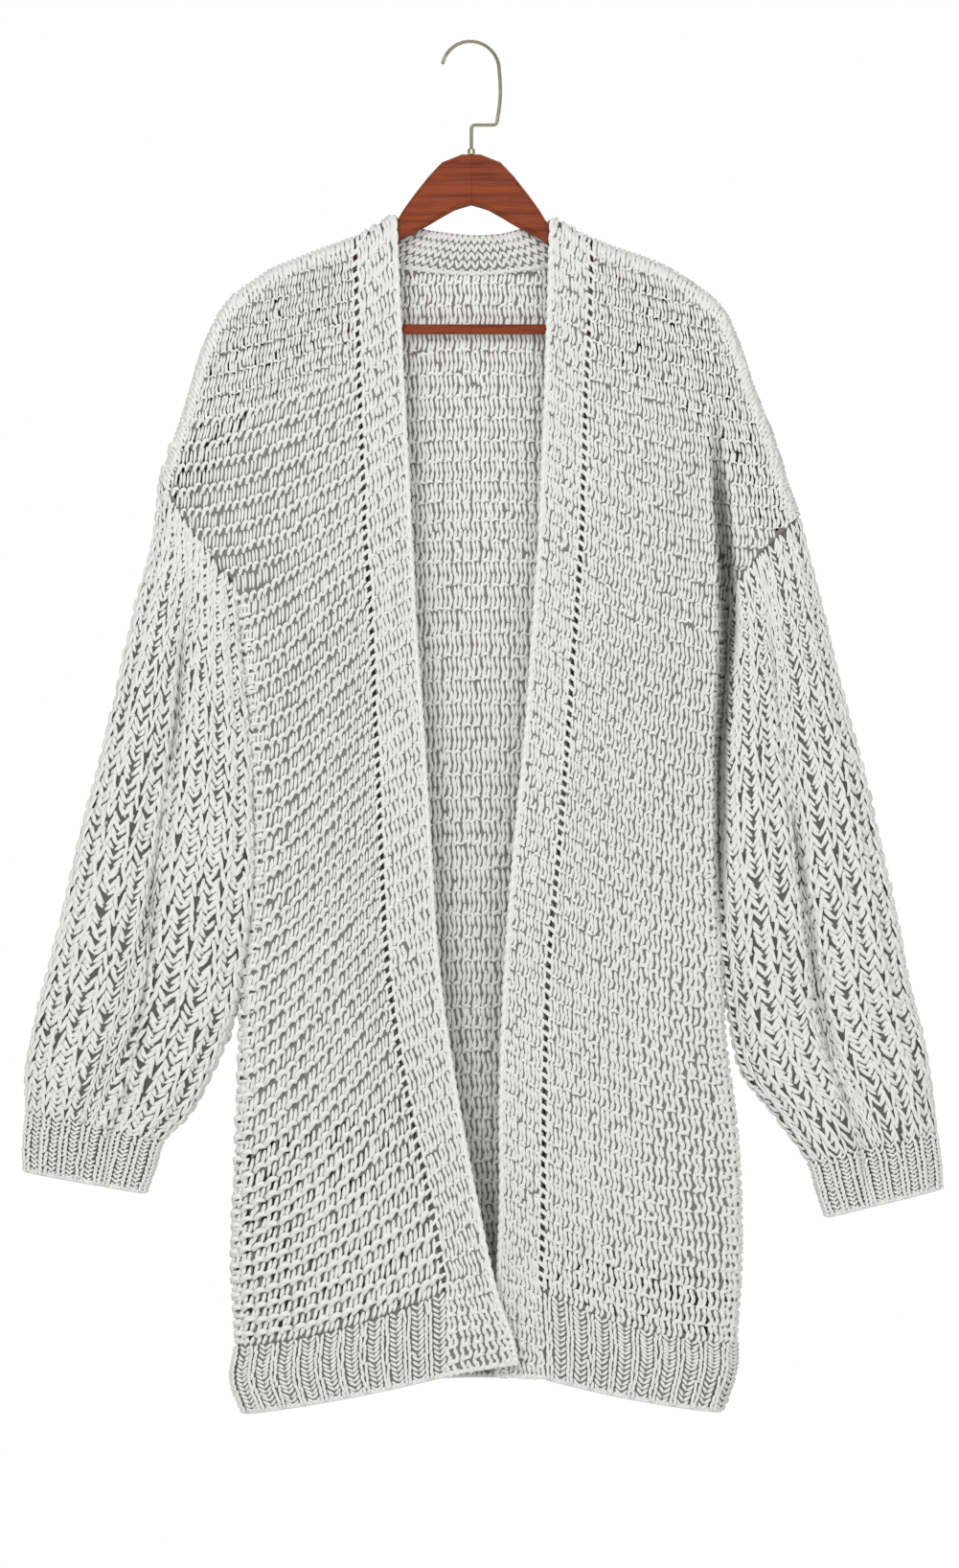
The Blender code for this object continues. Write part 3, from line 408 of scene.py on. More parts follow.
def shareNormals(cloths):
    # Where stretches of cloth meet they get one normal, so that their edges line up.
    cell = 0.02 * mm
    shift = 0.371  # keeps round numbers off the edges between cells
    shared = {}
    keys = []
    for cloth in cloths:
        places = np.floor(cloth.points.reshape(-1, 3) / cell + shift).astype(int)
        found = [tuple(place) for place in places]
        keys.append(found)
        for key, normal in zip(found, cloth.normals.reshape(-1, 3)):
            shared[key] = shared.get(key, 0.0) + normal
    for cloth, found in zip(cloths, keys):
        normals = np.array([shared[key] for key in found]).reshape(cloth.points.shape)
        cloth.normals = normals / np.linalg.norm(normals, axis=-1, keepdims=True)


def makeCloths():
    turn = np.linspace(0, math.pi, 61)
    rows = np.concatenate([underarm * (1 - np.cos(turn)) / 2, np.linspace(underarm, hemEnd, 81)[1:]])
    across = np.sin(np.linspace(0, math.pi / 2, 41))
    band = np.linspace(0, 1, 7)
    neckAlong = np.unique(np.concatenate([np.linspace(0, 1, 61), [row[0] for row in neckTable]]))
    up = np.linspace(0, 1, 5)
    shoulder = backShoulder * (1 - across[::-1])
    middle = backShoulder + (1 - 2 * backShoulder) * neckAlong
    wide = np.concatenate([shoulder, middle[1:-1], 1 - shoulder[::-1]])
    cloths = {}
    for side, table, line, sleeve, hand in (
        ("right", frontRight, shoulderRight, sleeveRight, 1.0),
        ("left", frontLeft, shoulderLeft, sleeveLeft, -1.0),
    ):
        front = frontPoints(f"front_{side}", table, line, across, rows)
        cloths[f"front_{side}"] = Cloth(front, rows, across, hand)
        cloths[f"band_{side}"] = Cloth(bandPoints(table, band, rows), rows, band, -hand)
        top = rows[rows <= underarm + 1e-9]
        column = front[: len(top), -1]
        around = np.concatenate([top / underarm, 2 - top[-2:0:-1] / underarm])
        behind = column[-2:0:-1] * (1, -1, 1)
        ring = np.linspace(0, cuffEnd, 113)
        points = sleevePoints(sleeve, np.concatenate([column, behind]), around, ring)
        tube = Cloth(points, ring, around, -hand, closed=True)
        cloths[f"sleeve_{side}"] = tube
    cloths["back"] = Cloth(backPoints(wide, rows), rows, wide, 1.0)
    cloths["neck"] = Cloth(neckPoints(neckAlong, up), up, neckAlong, -1.0)
    shareNormals(cloths.values())
    for side in ("right", "left"):
        tube = cloths[f"sleeve_{side}"]
        tube.columns = np.append(tube.columns, 2.0)
        tube.points = np.concatenate([tube.points, tube.points[:, :1]], axis=1)
        tube.normals = np.concatenate([tube.normals, tube.normals[:, :1]], axis=1)
    return cloths


# Where the groove is, in mm: height, middle and half its width. The last is its depth, as a
# share of half the thickness.
deepGroove = [
    (-270, 184, 4.0, 0.0),
    (-305, 184, 5.0, 0.40),
    (-340, 187, 6.0, 0.85),
    (-400, 192, 7.0, 0.92),
    (-440, 192, 7.0, 0.92),
    (-472, 190, 6.0, 0.92),
    (-530, 187, 5.5, 0.90),
    (-610, 187, 4.5, 0.75),
    (-680, 188, 4.0, 0.0),
]


def grooveDepth(points):
    # How deep in the groove each point is, as a share of half the thickness. It pushes the cloth in,
    # and the same depth sets the painted shade in the groove.
    x, y, z = np.moveaxis(np.asarray(points) / mm, -1, 0)
    heights, middles, halves, depths = (np.array(values) for values in zip(*deepGroove))
    away = (x - np.interp(-z, -heights, middles)) / np.interp(-z, -heights, halves)
    return np.interp(-z, -heights, depths) * np.exp(-(away**4)) * (y < 0)


# Body and sleeves lean on each other below the armholes, so both swell to close the gap.
swell = {
    "reach": 3.2 * mm,
    "bodyRows": (0.28, 0.33, 0.62, 0.74),  # where it starts, is full, ends being full and stops
    "armRows": (0.0, 0.05, 0.56, 0.78),
    "backFrom": 0.92,  # how far out from the middle, 1 is the side
    "frontFrom": 0.86,
    "armFold": 0.25,  # how far round from the inner fold
    "grooveEnd": 0.04,  # rows below the underarm where the front's part of the groove ends
}


def swellSides(cloths):
    ends = np.abs(2 * cloths["back"].columns - 1)
    parts = [("back", step(swell["backFrom"], 1.0, ends), swell["bodyRows"])]
    for side in ("right", "left"):
        out = cloths[f"front_{side}"].columns
        turned = np.abs(cloths[f"sleeve_{side}"].columns - 1)
        parts.append((f"front_{side}", step(swell["frontFrom"], 1.0, out), swell["bodyRows"]))
        parts.append((f"sleeve_{side}", 1 - step(0.0, swell["armFold"], turned), swell["armRows"]))
    for name, share, (start, full, last, stop) in parts:
        cloth = cloths[name]
        rows = step(start, full, cloth.rows) * (1 - step(last, stop, cloth.rows))
        lift = rows[:, None] * share * swell["reach"]
        cloth.points = cloth.points + cloth.normals * lift[..., None]
    # A deep groove runs down from the left arm and on between the body and the sleeve.
    for name in ("front_left", "sleeve_left"):
        cloth = cloths[name]
        depth = grooveDepth(cloth.points)
        if name == "front_left":
            depth *= 1 - step(underarm, underarm + swell["grooveEnd"], cloth.rows)[:, None]
        cloth.points = cloth.points * point(1.0, 1 - depth, 1.0)


cloths = makeCloths()
swellSides(cloths)
print("middle surfaces made")


def makeObject(name, points, faces, look, uvs=None):
    # A smooth mesh from arrays of points, four-sided faces and, if given, a UV for each point.
    data = bpy.data.meshes.new(name)
    faces = np.asarray(faces, np.int32)
    data.vertices.add(len(points))
    data.vertices.foreach_set("co", np.asarray(points, np.float32).ravel())
    data.loops.add(faces.size)
    data.loops.foreach_set("vertex_index", faces.ravel())
    data.polygons.add(len(faces))
    data.polygons.foreach_set("loop_start", np.arange(0, faces.size, 4, dtype=np.int32))
    data.polygons.foreach_set("use_smooth", np.ones(len(faces), bool))
    if uvs is not None:
        layer = data.uv_layers.new(name="strand")
        layer.uv.foreach_set("vector", np.asarray(uvs, np.float32)[faces.ravel()].ravel())
    # The groove's depth is kept as a mask that darkens the yarn and ground there: painted shade in
    # the deep groove.
    if name.startswith(("front_left", "sleeve_left")):
        paintedShade = data.attributes.new("paintedShade", "FLOAT", "POINT")
        paintedShade.data.foreach_set("value", grooveDepth(points).astype(np.float32))
    data.update(calc_edges=True)
    data.materials.append(look)
    made = bpy.data.objects.new(name, data)
    bpy.context.collection.objects.link(made)
    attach(made, "root")
    return made


tuck = 0.45  # how far a strand's section wraps under, in radians


def sweepStrands(centres, normals, halfWidth, halfHeight, profile=4, taper=0.6, whole=False):
    # Half-round strands, or whole round ones: each follows a line of centres.
    count, rings = centres.shape[:2]
    along = np.gradient(centres, axis=1)
    along /= np.linalg.norm(along, axis=-1, keepdims=True)
    side = np.cross(along, normals)
    side /= np.linalg.norm(side, axis=-1, keepdims=True)
    up = np.cross(side, along)
    turn = np.linspace(-tuck, math.pi + tuck, profile)
    if whole:
        turn = np.linspace(0, 2 * math.pi, profile + 3)
    profile = len(turn)
    grow = np.ones(rings)
    grow[0] = grow[-1] = taper
    wide = np.broadcast_to(halfWidth, (count, rings)) * grow
    tall = np.broadcast_to(halfHeight, (count, rings)) * grow
    points = (
        centres[:, :, None, :]
        + side[:, :, None, :] * (wide[:, :, None, None] * np.cos(turn)[:, None])
        + up[:, :, None, :] * (tall[:, :, None, None] * np.sin(turn)[:, None])
    )
    index = np.arange(count * rings * profile).reshape(count, rings, profile)
    corners = [index[:, :-1, :-1], index[:, 1:, :-1], index[:, 1:, 1:], index[:, :-1, 1:]]
    faces = np.stack(corners, axis=-1)
    u = np.broadcast_to(np.linspace(0, 1, profile), (count, rings, profile))
    v = np.broadcast_to(np.linspace(0, 1, rings)[:, None], (count, rings, profile))
    return points.reshape(-1, 3), faces.reshape(-1, 4), np.stack([u, v], axis=-1).reshape(-1, 2)


def joinParts(parts):
    # Several swept sets as one set of points, faces and UVs.
    points, faces, uvs, start = [], [], [], 0
    for part in parts:
        points.append(part[0])
        faces.append(part[1] + start)
        uvs.append(part[2])
        start += len(part[0])
    return np.concatenate(points), np.concatenate(faces), np.concatenate(uvs)


def makeStitches(name, look, parts):
    points, faces, uvs = joinParts(parts)
    return makeObject(name, points, faces, look, uvs)


def everyStitch(wales, rows, firstWale=0, firstRow=0):
    # The wale and the row of every stitch, as two flat arrays.
    grids = np.meshgrid(np.arange(firstWale, wales, 1.0), np.arange(firstRow, rows, 1.0))
    return [grid.ravel() for grid in grids]


def pairUp(strokes, middle=0.5):
    # Each stroke, followed by the same one leaning the other way about a middle.
    pairs = []
    for line, wide, tall in strokes:
        pairs.append((line, wide, tall))
        pairs.append(([(2 * middle - a, b, h) for a, b, h in line], wide, tall))
    return pairs


def mirrored(strokes, mirror):
    # The same strokes, leaning the other way if asked.
    turned = []
    for line, wide, tall in strokes:
        turned.append(([(1 - a if mirror else a, b, h) for a, b, h in line], wide, tall))
    return turned


strandFit = {"least": 0.62, "most": 1.18, "mostHeight": 1.1}  # against a wale of the usual width


def knitStrands(cloth, toCloth, wales, ridges, strokes, spec, side=1.0):
    # Every stroke of the stitch at every wale and ridge. Wales and ridges are flat arrays.
    # A stroke's line is in wales, repeats and millimetres; toCloth turns it to across and row.
    # Its thickness is for a wale of the width in spec, and goes with the width of its own.
    fit = 1.0
    if "wale" in spec:
        near = np.array([0.1, 0.5, 0.9])
        across, row, _ = toCloth(wales[:, None] + near, ridges[:, None] + 0.5 + 0 * near)
        ends, _ = cloth.place(across, row)
        pitch = np.linalg.norm(ends[:, 2] - ends[:, 0], axis=-1) / (near[2] - near[0])
        fit = np.clip(pitch / spec["wale"], strandFit["least"], strandFit["most"])[:, None]
    uneven = spec["uneven"]
    each = (len(wales), 1)
    parts = []
    for line, halfWidth, halfHeight in strokes:
        line = np.array(line, float)
        a = wales[:, None] + line[:, 0] + rng.normal(0, uneven, each)
        b = ridges[:, None] + line[:, 1] + rng.normal(0, uneven, each)
        across, row, inside = toCloth(a, b)
        lift = rng.normal(1.0, uneven * 2, each)
        height = side * (line[:, 2] * lift * mm * np.minimum(fit, strandFit["mostHeight"]))
        centres, normals = cloth.place(across, row, height)
        size = fit * rng.normal(1.0, uneven, each)
        parts.append(sweepStrands(
            centres[inside],
            side * normals[inside],
            (halfWidth * mm * size)[inside],
            (halfHeight * mm * size)[inside],
            profile=spec["profile"],
        ))
    return joinParts(parts)


def makeShell(name, cloth, columns, rows, half, look, holes=None):
    # A thin closed shell on a cloth, with real holes where the mask is set.
    # Columns may be given for each row.
    across = np.broadcast_to(columns, (len(rows), np.shape(columns)[-1]))
    row = np.broadcast_to(np.asarray(rows)[:, None], across.shape)
    middle, normals = cloth.place(across, row)
    down, over = middle.shape[:2]
    if cloth.closed:
        over -= 1
        middle = middle[:, :over]
        normals = normals[:, :over]
    points = np.stack([middle + normals * half, middle - normals * half]).reshape(-1, 3)
    index = np.arange(down * over).reshape(down, over)
    if cloth.closed:
        index = np.concatenate([index, index[:, :1]], axis=1)
    solid = np.ones((down - 1, index.shape[1] - 1), bool)
    if holes is not None:
        solid &= ~holes[: solid.shape[0], : solid.shape[1]]
    corner = (index[:-1, :-1], index[:-1, 1:], index[1:, 1:], index[1:, :-1])
    back = down * over
    faces = [
        np.stack([c[solid] for c in corner], axis=-1),
        np.stack([c[solid] + back for c in corner[::-1]], axis=-1),
    ]
    padded = np.pad(solid, 1)
    if cloth.closed:
        padded[:, 0] = padded[:, -2]
        padded[:, -1] = padded[:, 1]
    # A wall closes the shell wherever the next square is open. Each line gives the way to that
    # square and the wall's two corners.
    for (dr, dc), (first, second) in (
        ((-1, 0), (0, 1)), ((1, 0), (3, 2)), ((0, -1), (0, 3)), ((0, 1), (1, 2)),
    ):
        beyond = padded[1 + dr : padded.shape[0] - 1 + dr, 1 + dc : padded.shape[1] - 1 + dc]
        edge = solid & ~beyond
        p, q = corner[first][edge], corner[second][edge]
        faces.append(np.stack([p, q, q + back, p + back], axis=-1))
    faces = np.concatenate(faces)
    used = np.unique(faces)
    remap = np.full(len(points), -1)
    remap[used] = np.arange(len(used))
    uvs = np.stack([across[:, :over].ravel(), row[:, :over].ravel()], axis=-1)
    uvs = np.concatenate([uvs, uvs])[used]
    made = makeObject(name, points[used], remap[faces], look, uvs)
    turned = bmesh.new()
    turned.from_mesh(made.data)
    bmesh.ops.recalc_face_normals(turned, faces=turned.faces)
    turned.to_mesh(made.data)
    turned.free()
    return made
# Yarn, wood and brass. A group gives only values, which each material mixes in its own way.


def newGroup(name, inputs, outputs):
    group = bpy.data.node_groups.new(name, "ShaderNodeTree")
    for label, value in inputs:
        socket = group.interface.new_socket(label, in_out="INPUT", socket_type="NodeSocketFloat")
        socket.default_value = value
    for label in outputs:
        group.interface.new_socket(label, in_out="OUTPUT", socket_type="NodeSocketFloat")
    return group, group.nodes.new("NodeGroupInput"), group.nodes.new("NodeGroupOutput")


def addNode(tree, kind, inputs, **settings):
    # A node with its settings. An input is a value, or another node's output that feeds it.
    node = tree.nodes.new("ShaderNode" + kind)
    for label, value in settings.items():
        setattr(node, label, value)
    for label, value in inputs.items():
        if isinstance(value, bpy.types.NodeSocket):
            tree.links.new(value, node.inputs[label])
        else:
            node.inputs[label].default_value = value
    return node


def addMath(tree, operation, *values):
    return addNode(tree, "Math", dict(enumerate(values)), operation=operation).outputs[0]


def addNoise(tree, vector, scale, detail, roughness=0.5):
    inputs = {"Vector": vector, "Scale": scale, "Detail": detail, "Roughness": roughness}
    return addNode(tree, "TexNoise", inputs).outputs["Fac"]


def objectPlace(tree):
    return addNode(tree, "TexCoord", {}).outputs["Object"]


def makeTwist():
    # Two plies wound round each other along a strand, read from its UVs.
    group, into, out = newGroup("pliesTwist", (("Turns", 1.2), ("Fuzz", 0.25)), ("Height",))
    uv = addNode(group, "UVMap", {}, uv_map="strand")
    split = addNode(group, "SeparateXYZ", {0: uv.outputs[0]})
    along = addMath(group, "MULTIPLY", split.outputs[1], into.outputs["Turns"])
    phase = addMath(group, "ADD", along, split.outputs[0])
    wave = addMath(group, "SINE", addMath(group, "MULTIPLY", phase, math.pi))
    wave = addMath(group, "ABSOLUTE", wave)
    fuzz = addNoise(group, objectPlace(group), 900.0, 3.0, 0.7)
    height = addMath(group, "MULTIPLY_ADD", fuzz, into.outputs["Fuzz"], wave)
    group.links.new(height, out.inputs["Height"])
    return group


def makeToneAndShade():
    # Slow and quick changes of tone over the cloth, around 1, and much less in the deep groove:
    # painted shade, read from the mask of how deep each point lies there.
    inputs = (("Slow", 0.05), ("Quick", 0.08), ("GrooveShade", 0.88))
    group, into, out = newGroup("yarnToneAndShade", inputs, ("ToneAndShade",))
    groove = addNode(group, "Attribute", {}, attribute_name="paintedShade")
    tone = 1.0
    for label, scale, detail, roughness in (("Slow", 9.0, 2.0, 0.5), ("Quick", 160.0, 3.0, 0.6)):
        noise = addNoise(group, objectPlace(group), scale, detail, roughness)
        change = addMath(group, "SUBTRACT", noise, 0.5)
        tone = addMath(group, "MULTIPLY_ADD", change, into.outputs[label], tone)
    shadeLost = addMath(group, "MULTIPLY", groove.outputs["Fac"], into.outputs["GrooveShade"])
    tone = addMath(group, "MULTIPLY", tone, addMath(group, "SUBTRACT", 1.0, shadeLost))
    group.links.new(tone, out.inputs["ToneAndShade"])
    return group


def placeGroup(tree, group, values):
    return addNode(tree, "Group", values, node_tree=group)


def newLook(name, colour, roughness):
    look = bpy.data.materials.new(name)
    look.use_nodes = True
    shader = look.node_tree.nodes["Principled BSDF"]
    shader.inputs["Base Color"].default_value = (*colour, 1)
    shader.inputs["Roughness"].default_value = roughness
    return look, look.node_tree, shader


def tintByTone(tree, shader, tone, colour):
    # The base colour, lighter or darker by the tone.
    tinted = addNode(tree, "VectorMath", {0: colour, "Scale": tone}, operation="SCALE")
    tree.links.new(tinted.outputs[0], shader.inputs["Base Color"])


def bumpFrom(tree, shader, height, strength, distance):
    inputs = {"Strength": strength, "Distance": distance, "Height": height}
    tree.links.new(addNode(tree, "Bump", inputs).outputs[0], shader.inputs["Normal"])


twistGroup = makeTwist()
toneAndShadeGroup = makeToneAndShade()

yarn = {
    "colour": (0.84, 0.842, 0.815),
    # The ground sheet's dark greys are painted shade in the gaps between the strands; the deep one,
    # darker still, is painted shade for the sleeves and cuffs.
    "groundShadeColour": (0.22, 0.213, 0.20),
    "deepShadeColour": (0.13, 0.126, 0.118),
    # The inside yarn is a lighter copy of the yarn: painted light, where the back's inside lies in
    # shade.
    "insideLitColour": (0.90, 0.90, 0.875),
    "roughness": 0.92,
    "shine": 0.2,
    "sheen": 0.15,
    "tones": {"Slow": 0.05, "Quick": 0.10},
    "plyDepth": 0.5 * mm,
    "plyStrength": 0.7,
    "turns": 1.3,
    "fuzz": 0.35,
    "groundRoughness": 0.95,
    "groundShine": 0.1,
    "groundTones": {"Slow": 0.06, "Quick": 0.30},
    "fibreScale": 420.0,
    "fibreDepth": 1.0 * mm,
}


def makeYarn(name, colour):
    look, tree, shader = newLook(name, colour, yarn["roughness"])
    shader.inputs["Sheen Weight"].default_value = yarn["sheen"]
    shader.inputs["Specular IOR Level"].default_value = yarn["shine"]
    tone = placeGroup(tree, toneAndShadeGroup, yarn["tones"])
    twist = placeGroup(tree, twistGroup, {"Turns": yarn["turns"], "Fuzz": yarn["fuzz"]})
    # Painted shade between the plies: the yarn's colour darkens where the twist sinks in.
    plyShade = addMath(tree, "MULTIPLY_ADD", twist.outputs[0], 0.10, 0.93)  # darker between the plies
    tintByTone(tree, shader, addMath(tree, "MULTIPLY", tone.outputs[0], plyShade), colour)
    bumpFrom(tree, shader, twist.outputs[0], yarn["plyStrength"], yarn["plyDepth"])
    return look


# The ground sheet under the strands: its dark grey is painted shade for the gaps between them.
def makeShadedGround(name, colour):
    look, tree, shader = newLook(name, colour, yarn["groundRoughness"])
    shader.inputs["Specular IOR Level"].default_value = yarn["groundShine"]
    tone = placeGroup(tree, toneAndShadeGroup, yarn["groundTones"])
    fibres = addNoise(tree, objectPlace(tree), yarn["fibreScale"], 4.0, 0.65)
    tintByTone(tree, shader, tone.outputs[0], colour)
    bumpFrom(tree, shader, fibres, 0.6, yarn["fibreDepth"])
    return look


strandLook = makeYarn("yarnStrands", yarn["colour"])
paintedLightInsideLook = makeYarn("yarnInsidePaintedLight", yarn["insideLitColour"])
shadedGroundLook = makeShadedGround("yarnGroundPaintedShade", yarn["groundShadeColour"])
deepShadedGroundLook = makeShadedGround("yarnGroundDeepPaintedShade", yarn["deepShadeColour"])

wood = {
    "light": (0.36, 0.072, 0.020),
    "dark": (0.13, 0.024, 0.010),
    "roughness": 0.45,
    "coat": 0.03,
    "coatRoughness": 0.15,
    "shine": 0.15,
    "grain": (12.0, 260.0, 260.0),  # its scale along and across the wood
    "grainDepth": 0.25 * mm,
    "creaseWidth": 0.45 * mm,  # the line down the middle, where the two halves are joined
}


def makeWood():
    look, tree, shader = newLook("stainedWood", wood["light"], wood["roughness"])
    shader.inputs["Coat Weight"].default_value = wood["coat"]
    shader.inputs["Specular IOR Level"].default_value = wood["shine"]
    shader.inputs["Coat Roughness"].default_value = wood["coatRoughness"]
    place = objectPlace(tree)
    stretch = addNode(tree, "Mapping", {"Vector": place, "Scale": wood["grain"]})
    grain = addNoise(tree, stretch.outputs[0], 1.0, 5.0, 0.65)
    pores = addNoise(tree, stretch.outputs[0], 4.0, 2.0, 0.5)
    split = addNode(tree, "SeparateXYZ", {0: place})
    away = addMath(tree, "DIVIDE", addMath(tree, "ABSOLUTE", split.outputs[0]), wood["creaseWidth"])
    crease = addMath(tree, "SUBTRACT", 1.0, addMath(tree, "MINIMUM", away, 1.0))
    amount = addMath(tree, "MULTIPLY_ADD", addMath(tree, "SUBTRACT", grain, 0.5), 2.4, 0.42)
    amount = addMath(tree, "MULTIPLY_ADD", pores, 0.25, amount)
    amount = addMath(tree, "MULTIPLY_ADD", crease, 0.8, amount)
    mix = tree.nodes.new("ShaderNodeMix")
    mix.data_type = "RGBA"
    mix.inputs["A"].default_value = (*wood["light"], 1)
    mix.inputs["B"].default_value = (*wood["dark"], 1)
    tree.links.new(amount, mix.inputs["Factor"])
    tree.links.new(mix.outputs["Result"], shader.inputs["Base Color"])
    height = addMath(tree, "MULTIPLY_ADD", crease, -1.2, grain)
    bumpFrom(tree, shader, height, 0.35, wood["grainDepth"])
    return look


brass = {"colour": (0.42, 0.385, 0.28), "roughness": 0.24}


def makeBrass():
    look, tree, shader = newLook("paleGoldWire", brass["colour"], brass["roughness"])
    shader.inputs["Metallic"].default_value = 1.0
    smudges = addNoise(tree, objectPlace(tree), 260.0, 3.0, 0.6)
    scratches = addNoise(tree, objectPlace(tree), 2400.0, 2.0, 0.5)
    rough = addMath(tree, "MULTIPLY_ADD", smudges, 0.22, brass["roughness"] - 0.1)
    tree.links.new(rough, shader.inputs["Roughness"])
    tintByTone(tree, shader, addMath(tree, "MULTIPLY_ADD", smudges, 0.3, 0.85), brass["colour"])
    bumpFrom(tree, shader, scratches, 0.15, 0.05 * mm)
    return look


woodLook = makeWood()
for node in ("hanger_wood", "hanger_bar"):
    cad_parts[node].data.materials[0] = woodLook
brassLook = makeBrass()
for node in ("hanger_hook", "hanger_ferrule"):
    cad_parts[node].data.materials[0] = brassLook
print("materials made")

# The fronts: slanting ridged knit on the right, plain knit on the left.
frontKnit = {
    # Row, and how many wales there are to the side.
    "wales": ((0.0, 32), (0.068, 27), (0.15, 22), (0.242, 19), (0.35, 18), (1.1, 18)),
    "mostWales": 44,
    # Row, and how much wider the outer wales are.
    "spread": ((0.3, 0.0), (0.45, 0.22), (0.85, 0.25), (1.0, 0.06)),
    "repeat": {  # row, height of a repeat
        "right": ((0.0, 19), (0.15, 21), (0.5, 22), (0.75, 20.5), (0.88, 18.5), (1.0, 16.5)),
        "left": ((0.0, 19), (0.15, 20), (0.5, 20.5), (0.75, 20), (1.0, 18.5)),
    },
    "slant": {  # row, how far the ridges fall towards the side, beyond what the rows do
        "right": (
            (0.1, 0), (0.28, 0.024), (0.48, 0.046), (0.62, 0.070),
            (0.75, 0.086), (0.82, 0.080), (0.88, 0.048), (1, 0),
        ),
        "left": (
            (0.1, 0), (0.3, 0.006), (0.42, 0.036), (0.62, 0.036),
            (0.75, 0.016), (0.85, 0.005), (1, 0),
        ),
    },
    "ridges": 54,
    "plainAbove": 0.11,  # the right shoulder is plain above this row
    "wale": 7.2 * mm,
    "open": {"right": (0.10, 0.80), "left": (0.10, 0.93)},  # open-meshed above and below these rows
    "uneven": 0.05,
    "profile": 4,
    "groundHalf": 1.0 * mm,
    "groundGrid": (150, 64),
}
# Each stroke: its line in wales, repeats and mm, then half its width and half its height in mm.
# Ridged knit shows fat bumps over slanting legs, plain knit low bumps and two short rows of legs.
ridgedStrokes = [
    ([(0.04, 0.27, -0.6), (0.14, 0.13, 2.1), (0.42, -0.06, 3.3), (0.74, -0.12, 2.7),
      (1.00, -0.02, -0.4)], 2.15, 1.8),
    ([(0.40, 0.20, 0.2), (0.36, 0.42, 1.4), (0.27, 0.66, 1.5), (0.16, 0.92, 0.2)], 1.4, 1.25),
    ([(0.90, 0.16, 0.2), (0.85, 0.38, 1.4), (0.76, 0.62, 1.5), (0.66, 0.88, 0.2)], 1.4, 1.25),
]
plainStrokes = [
    ([(0.02, 0.10, -0.2), (0.25, 0.01, 1.5), (0.55, -0.05, 2.0), (0.98, 0.02, -0.2)], 1.6, 1.25),
]
for leg in (
    [(0.14, 0.04, 0.4), (0.18, 0.22, 1.8), (0.25, 0.40, 1.8), (0.34, 0.58, 0.2)],
    [(0.36, 0.50, 0.4), (0.32, 0.68, 1.8), (0.25, 0.84, 1.8), (0.14, 1.02, 0.2)],
):
    for shift in (0.0, 0.5):
        plainStrokes.append(([(a + shift, b, h) for a, b, h in leg], 1.55, 1.35))


def readPairs(at, pairs):
    # The value between pairs of a place and its value.
    return np.interp(at, *zip(*pairs))


def ridgeRows(repeat, count):
    # The row of each ridge, from how tall the repeats are along the cloth.
    fine = np.linspace(0, 1, 400)
    rate = 1 / readPairs(fine, repeat)
    total = np.concatenate([[0], np.cumsum((rate[1:] + rate[:-1]) / 2)])
    return lambda b: np.interp(b, total / total[-1] * count, fine)


fineRows = 101  # how finely the places of the stitches are worked out
fineColumns = 300
settleTurns = 14


def findByX(cloth, ends=None, facing=1):
    # Finds the column at a row and an x, and the x of either edge at a row.
    rows = np.linspace(0, 1, fineRows)
    lines = cloth.place(cloth.columns[None, :], rows[:, None])[0][..., 0] * facing
    places = np.linspace(*(ends or (lines.min(), lines.max())), fineColumns)
    table = np.stack([np.interp(places, x, cloth.columns) for x in lines])

    def find(row, x):
        over = np.interp(x, places, np.arange(fineColumns))
        return readTable(table, np.clip(row, 0, 1) * (fineRows - 1), over)

    return find, lambda row, end: np.interp(row, rows, lines[:, end])


def evenRows(cloth):
    # Ridges keep their distance from the lower edge, and lie level above the underarm.
    fine = np.linspace(0, 1, 201)
    lines, _ = cloth.place(cloth.columns[None, :], fine[:, None])
    gaps = np.diff(lines, axis=0)
    gaps = np.where(fine[1:, None] <= underarm, np.abs(gaps[..., 2]), np.linalg.norm(gaps, axis=-1))
    below = np.concatenate([np.cumsum(gaps[::-1], axis=0)[::-1], np.zeros((1, gaps.shape[1]))])
    longest = below[:, np.argmax(below[0])]
    reach = np.linspace(0, below.max(), fineColumns)
    table = []
    for column in below.T:
        beyond = np.maximum(reach - column[0], 0) * 2  # past the top edge
        table.append(np.interp(reach, column[::-1], fine[::-1]) - beyond)
    table = np.stack(table, axis=1)

    def find(row, across):
        down = np.interp(row, fine, longest) / reach[-1] * (fineColumns - 1)
        over = np.interp(across, cloth.columns, np.arange(len(cloth.columns)))
        return readTable(table, down, over)

    return find


def evenAcross(cloth):
    # The column at a share of each row's own length, so wales keep their width round the side.
    shares = np.linspace(0, 1, 201)
    lengths = [cloth.lengthAlong(row) for row in np.linspace(0, 1, fineRows)]
    table = np.stack([np.interp(shares, length / length[-1], cloth.columns) for length in lengths])

    def find(row, share):
        return readTable(table, np.clip(row, 0, 1) * (fineRows - 1), np.clip(share, 0, 1) * 200)

    return find


def eyeletShare(cloth):
    # The part of the front's width that the line of eyelets takes, at any row.
    rows = np.linspace(0, hemEnd, 12)
    shares = [eyelets["gap"] / cloth.lengthAlong(row)[-1] for row in rows]
    return lambda row: np.interp(row, rows, shares)


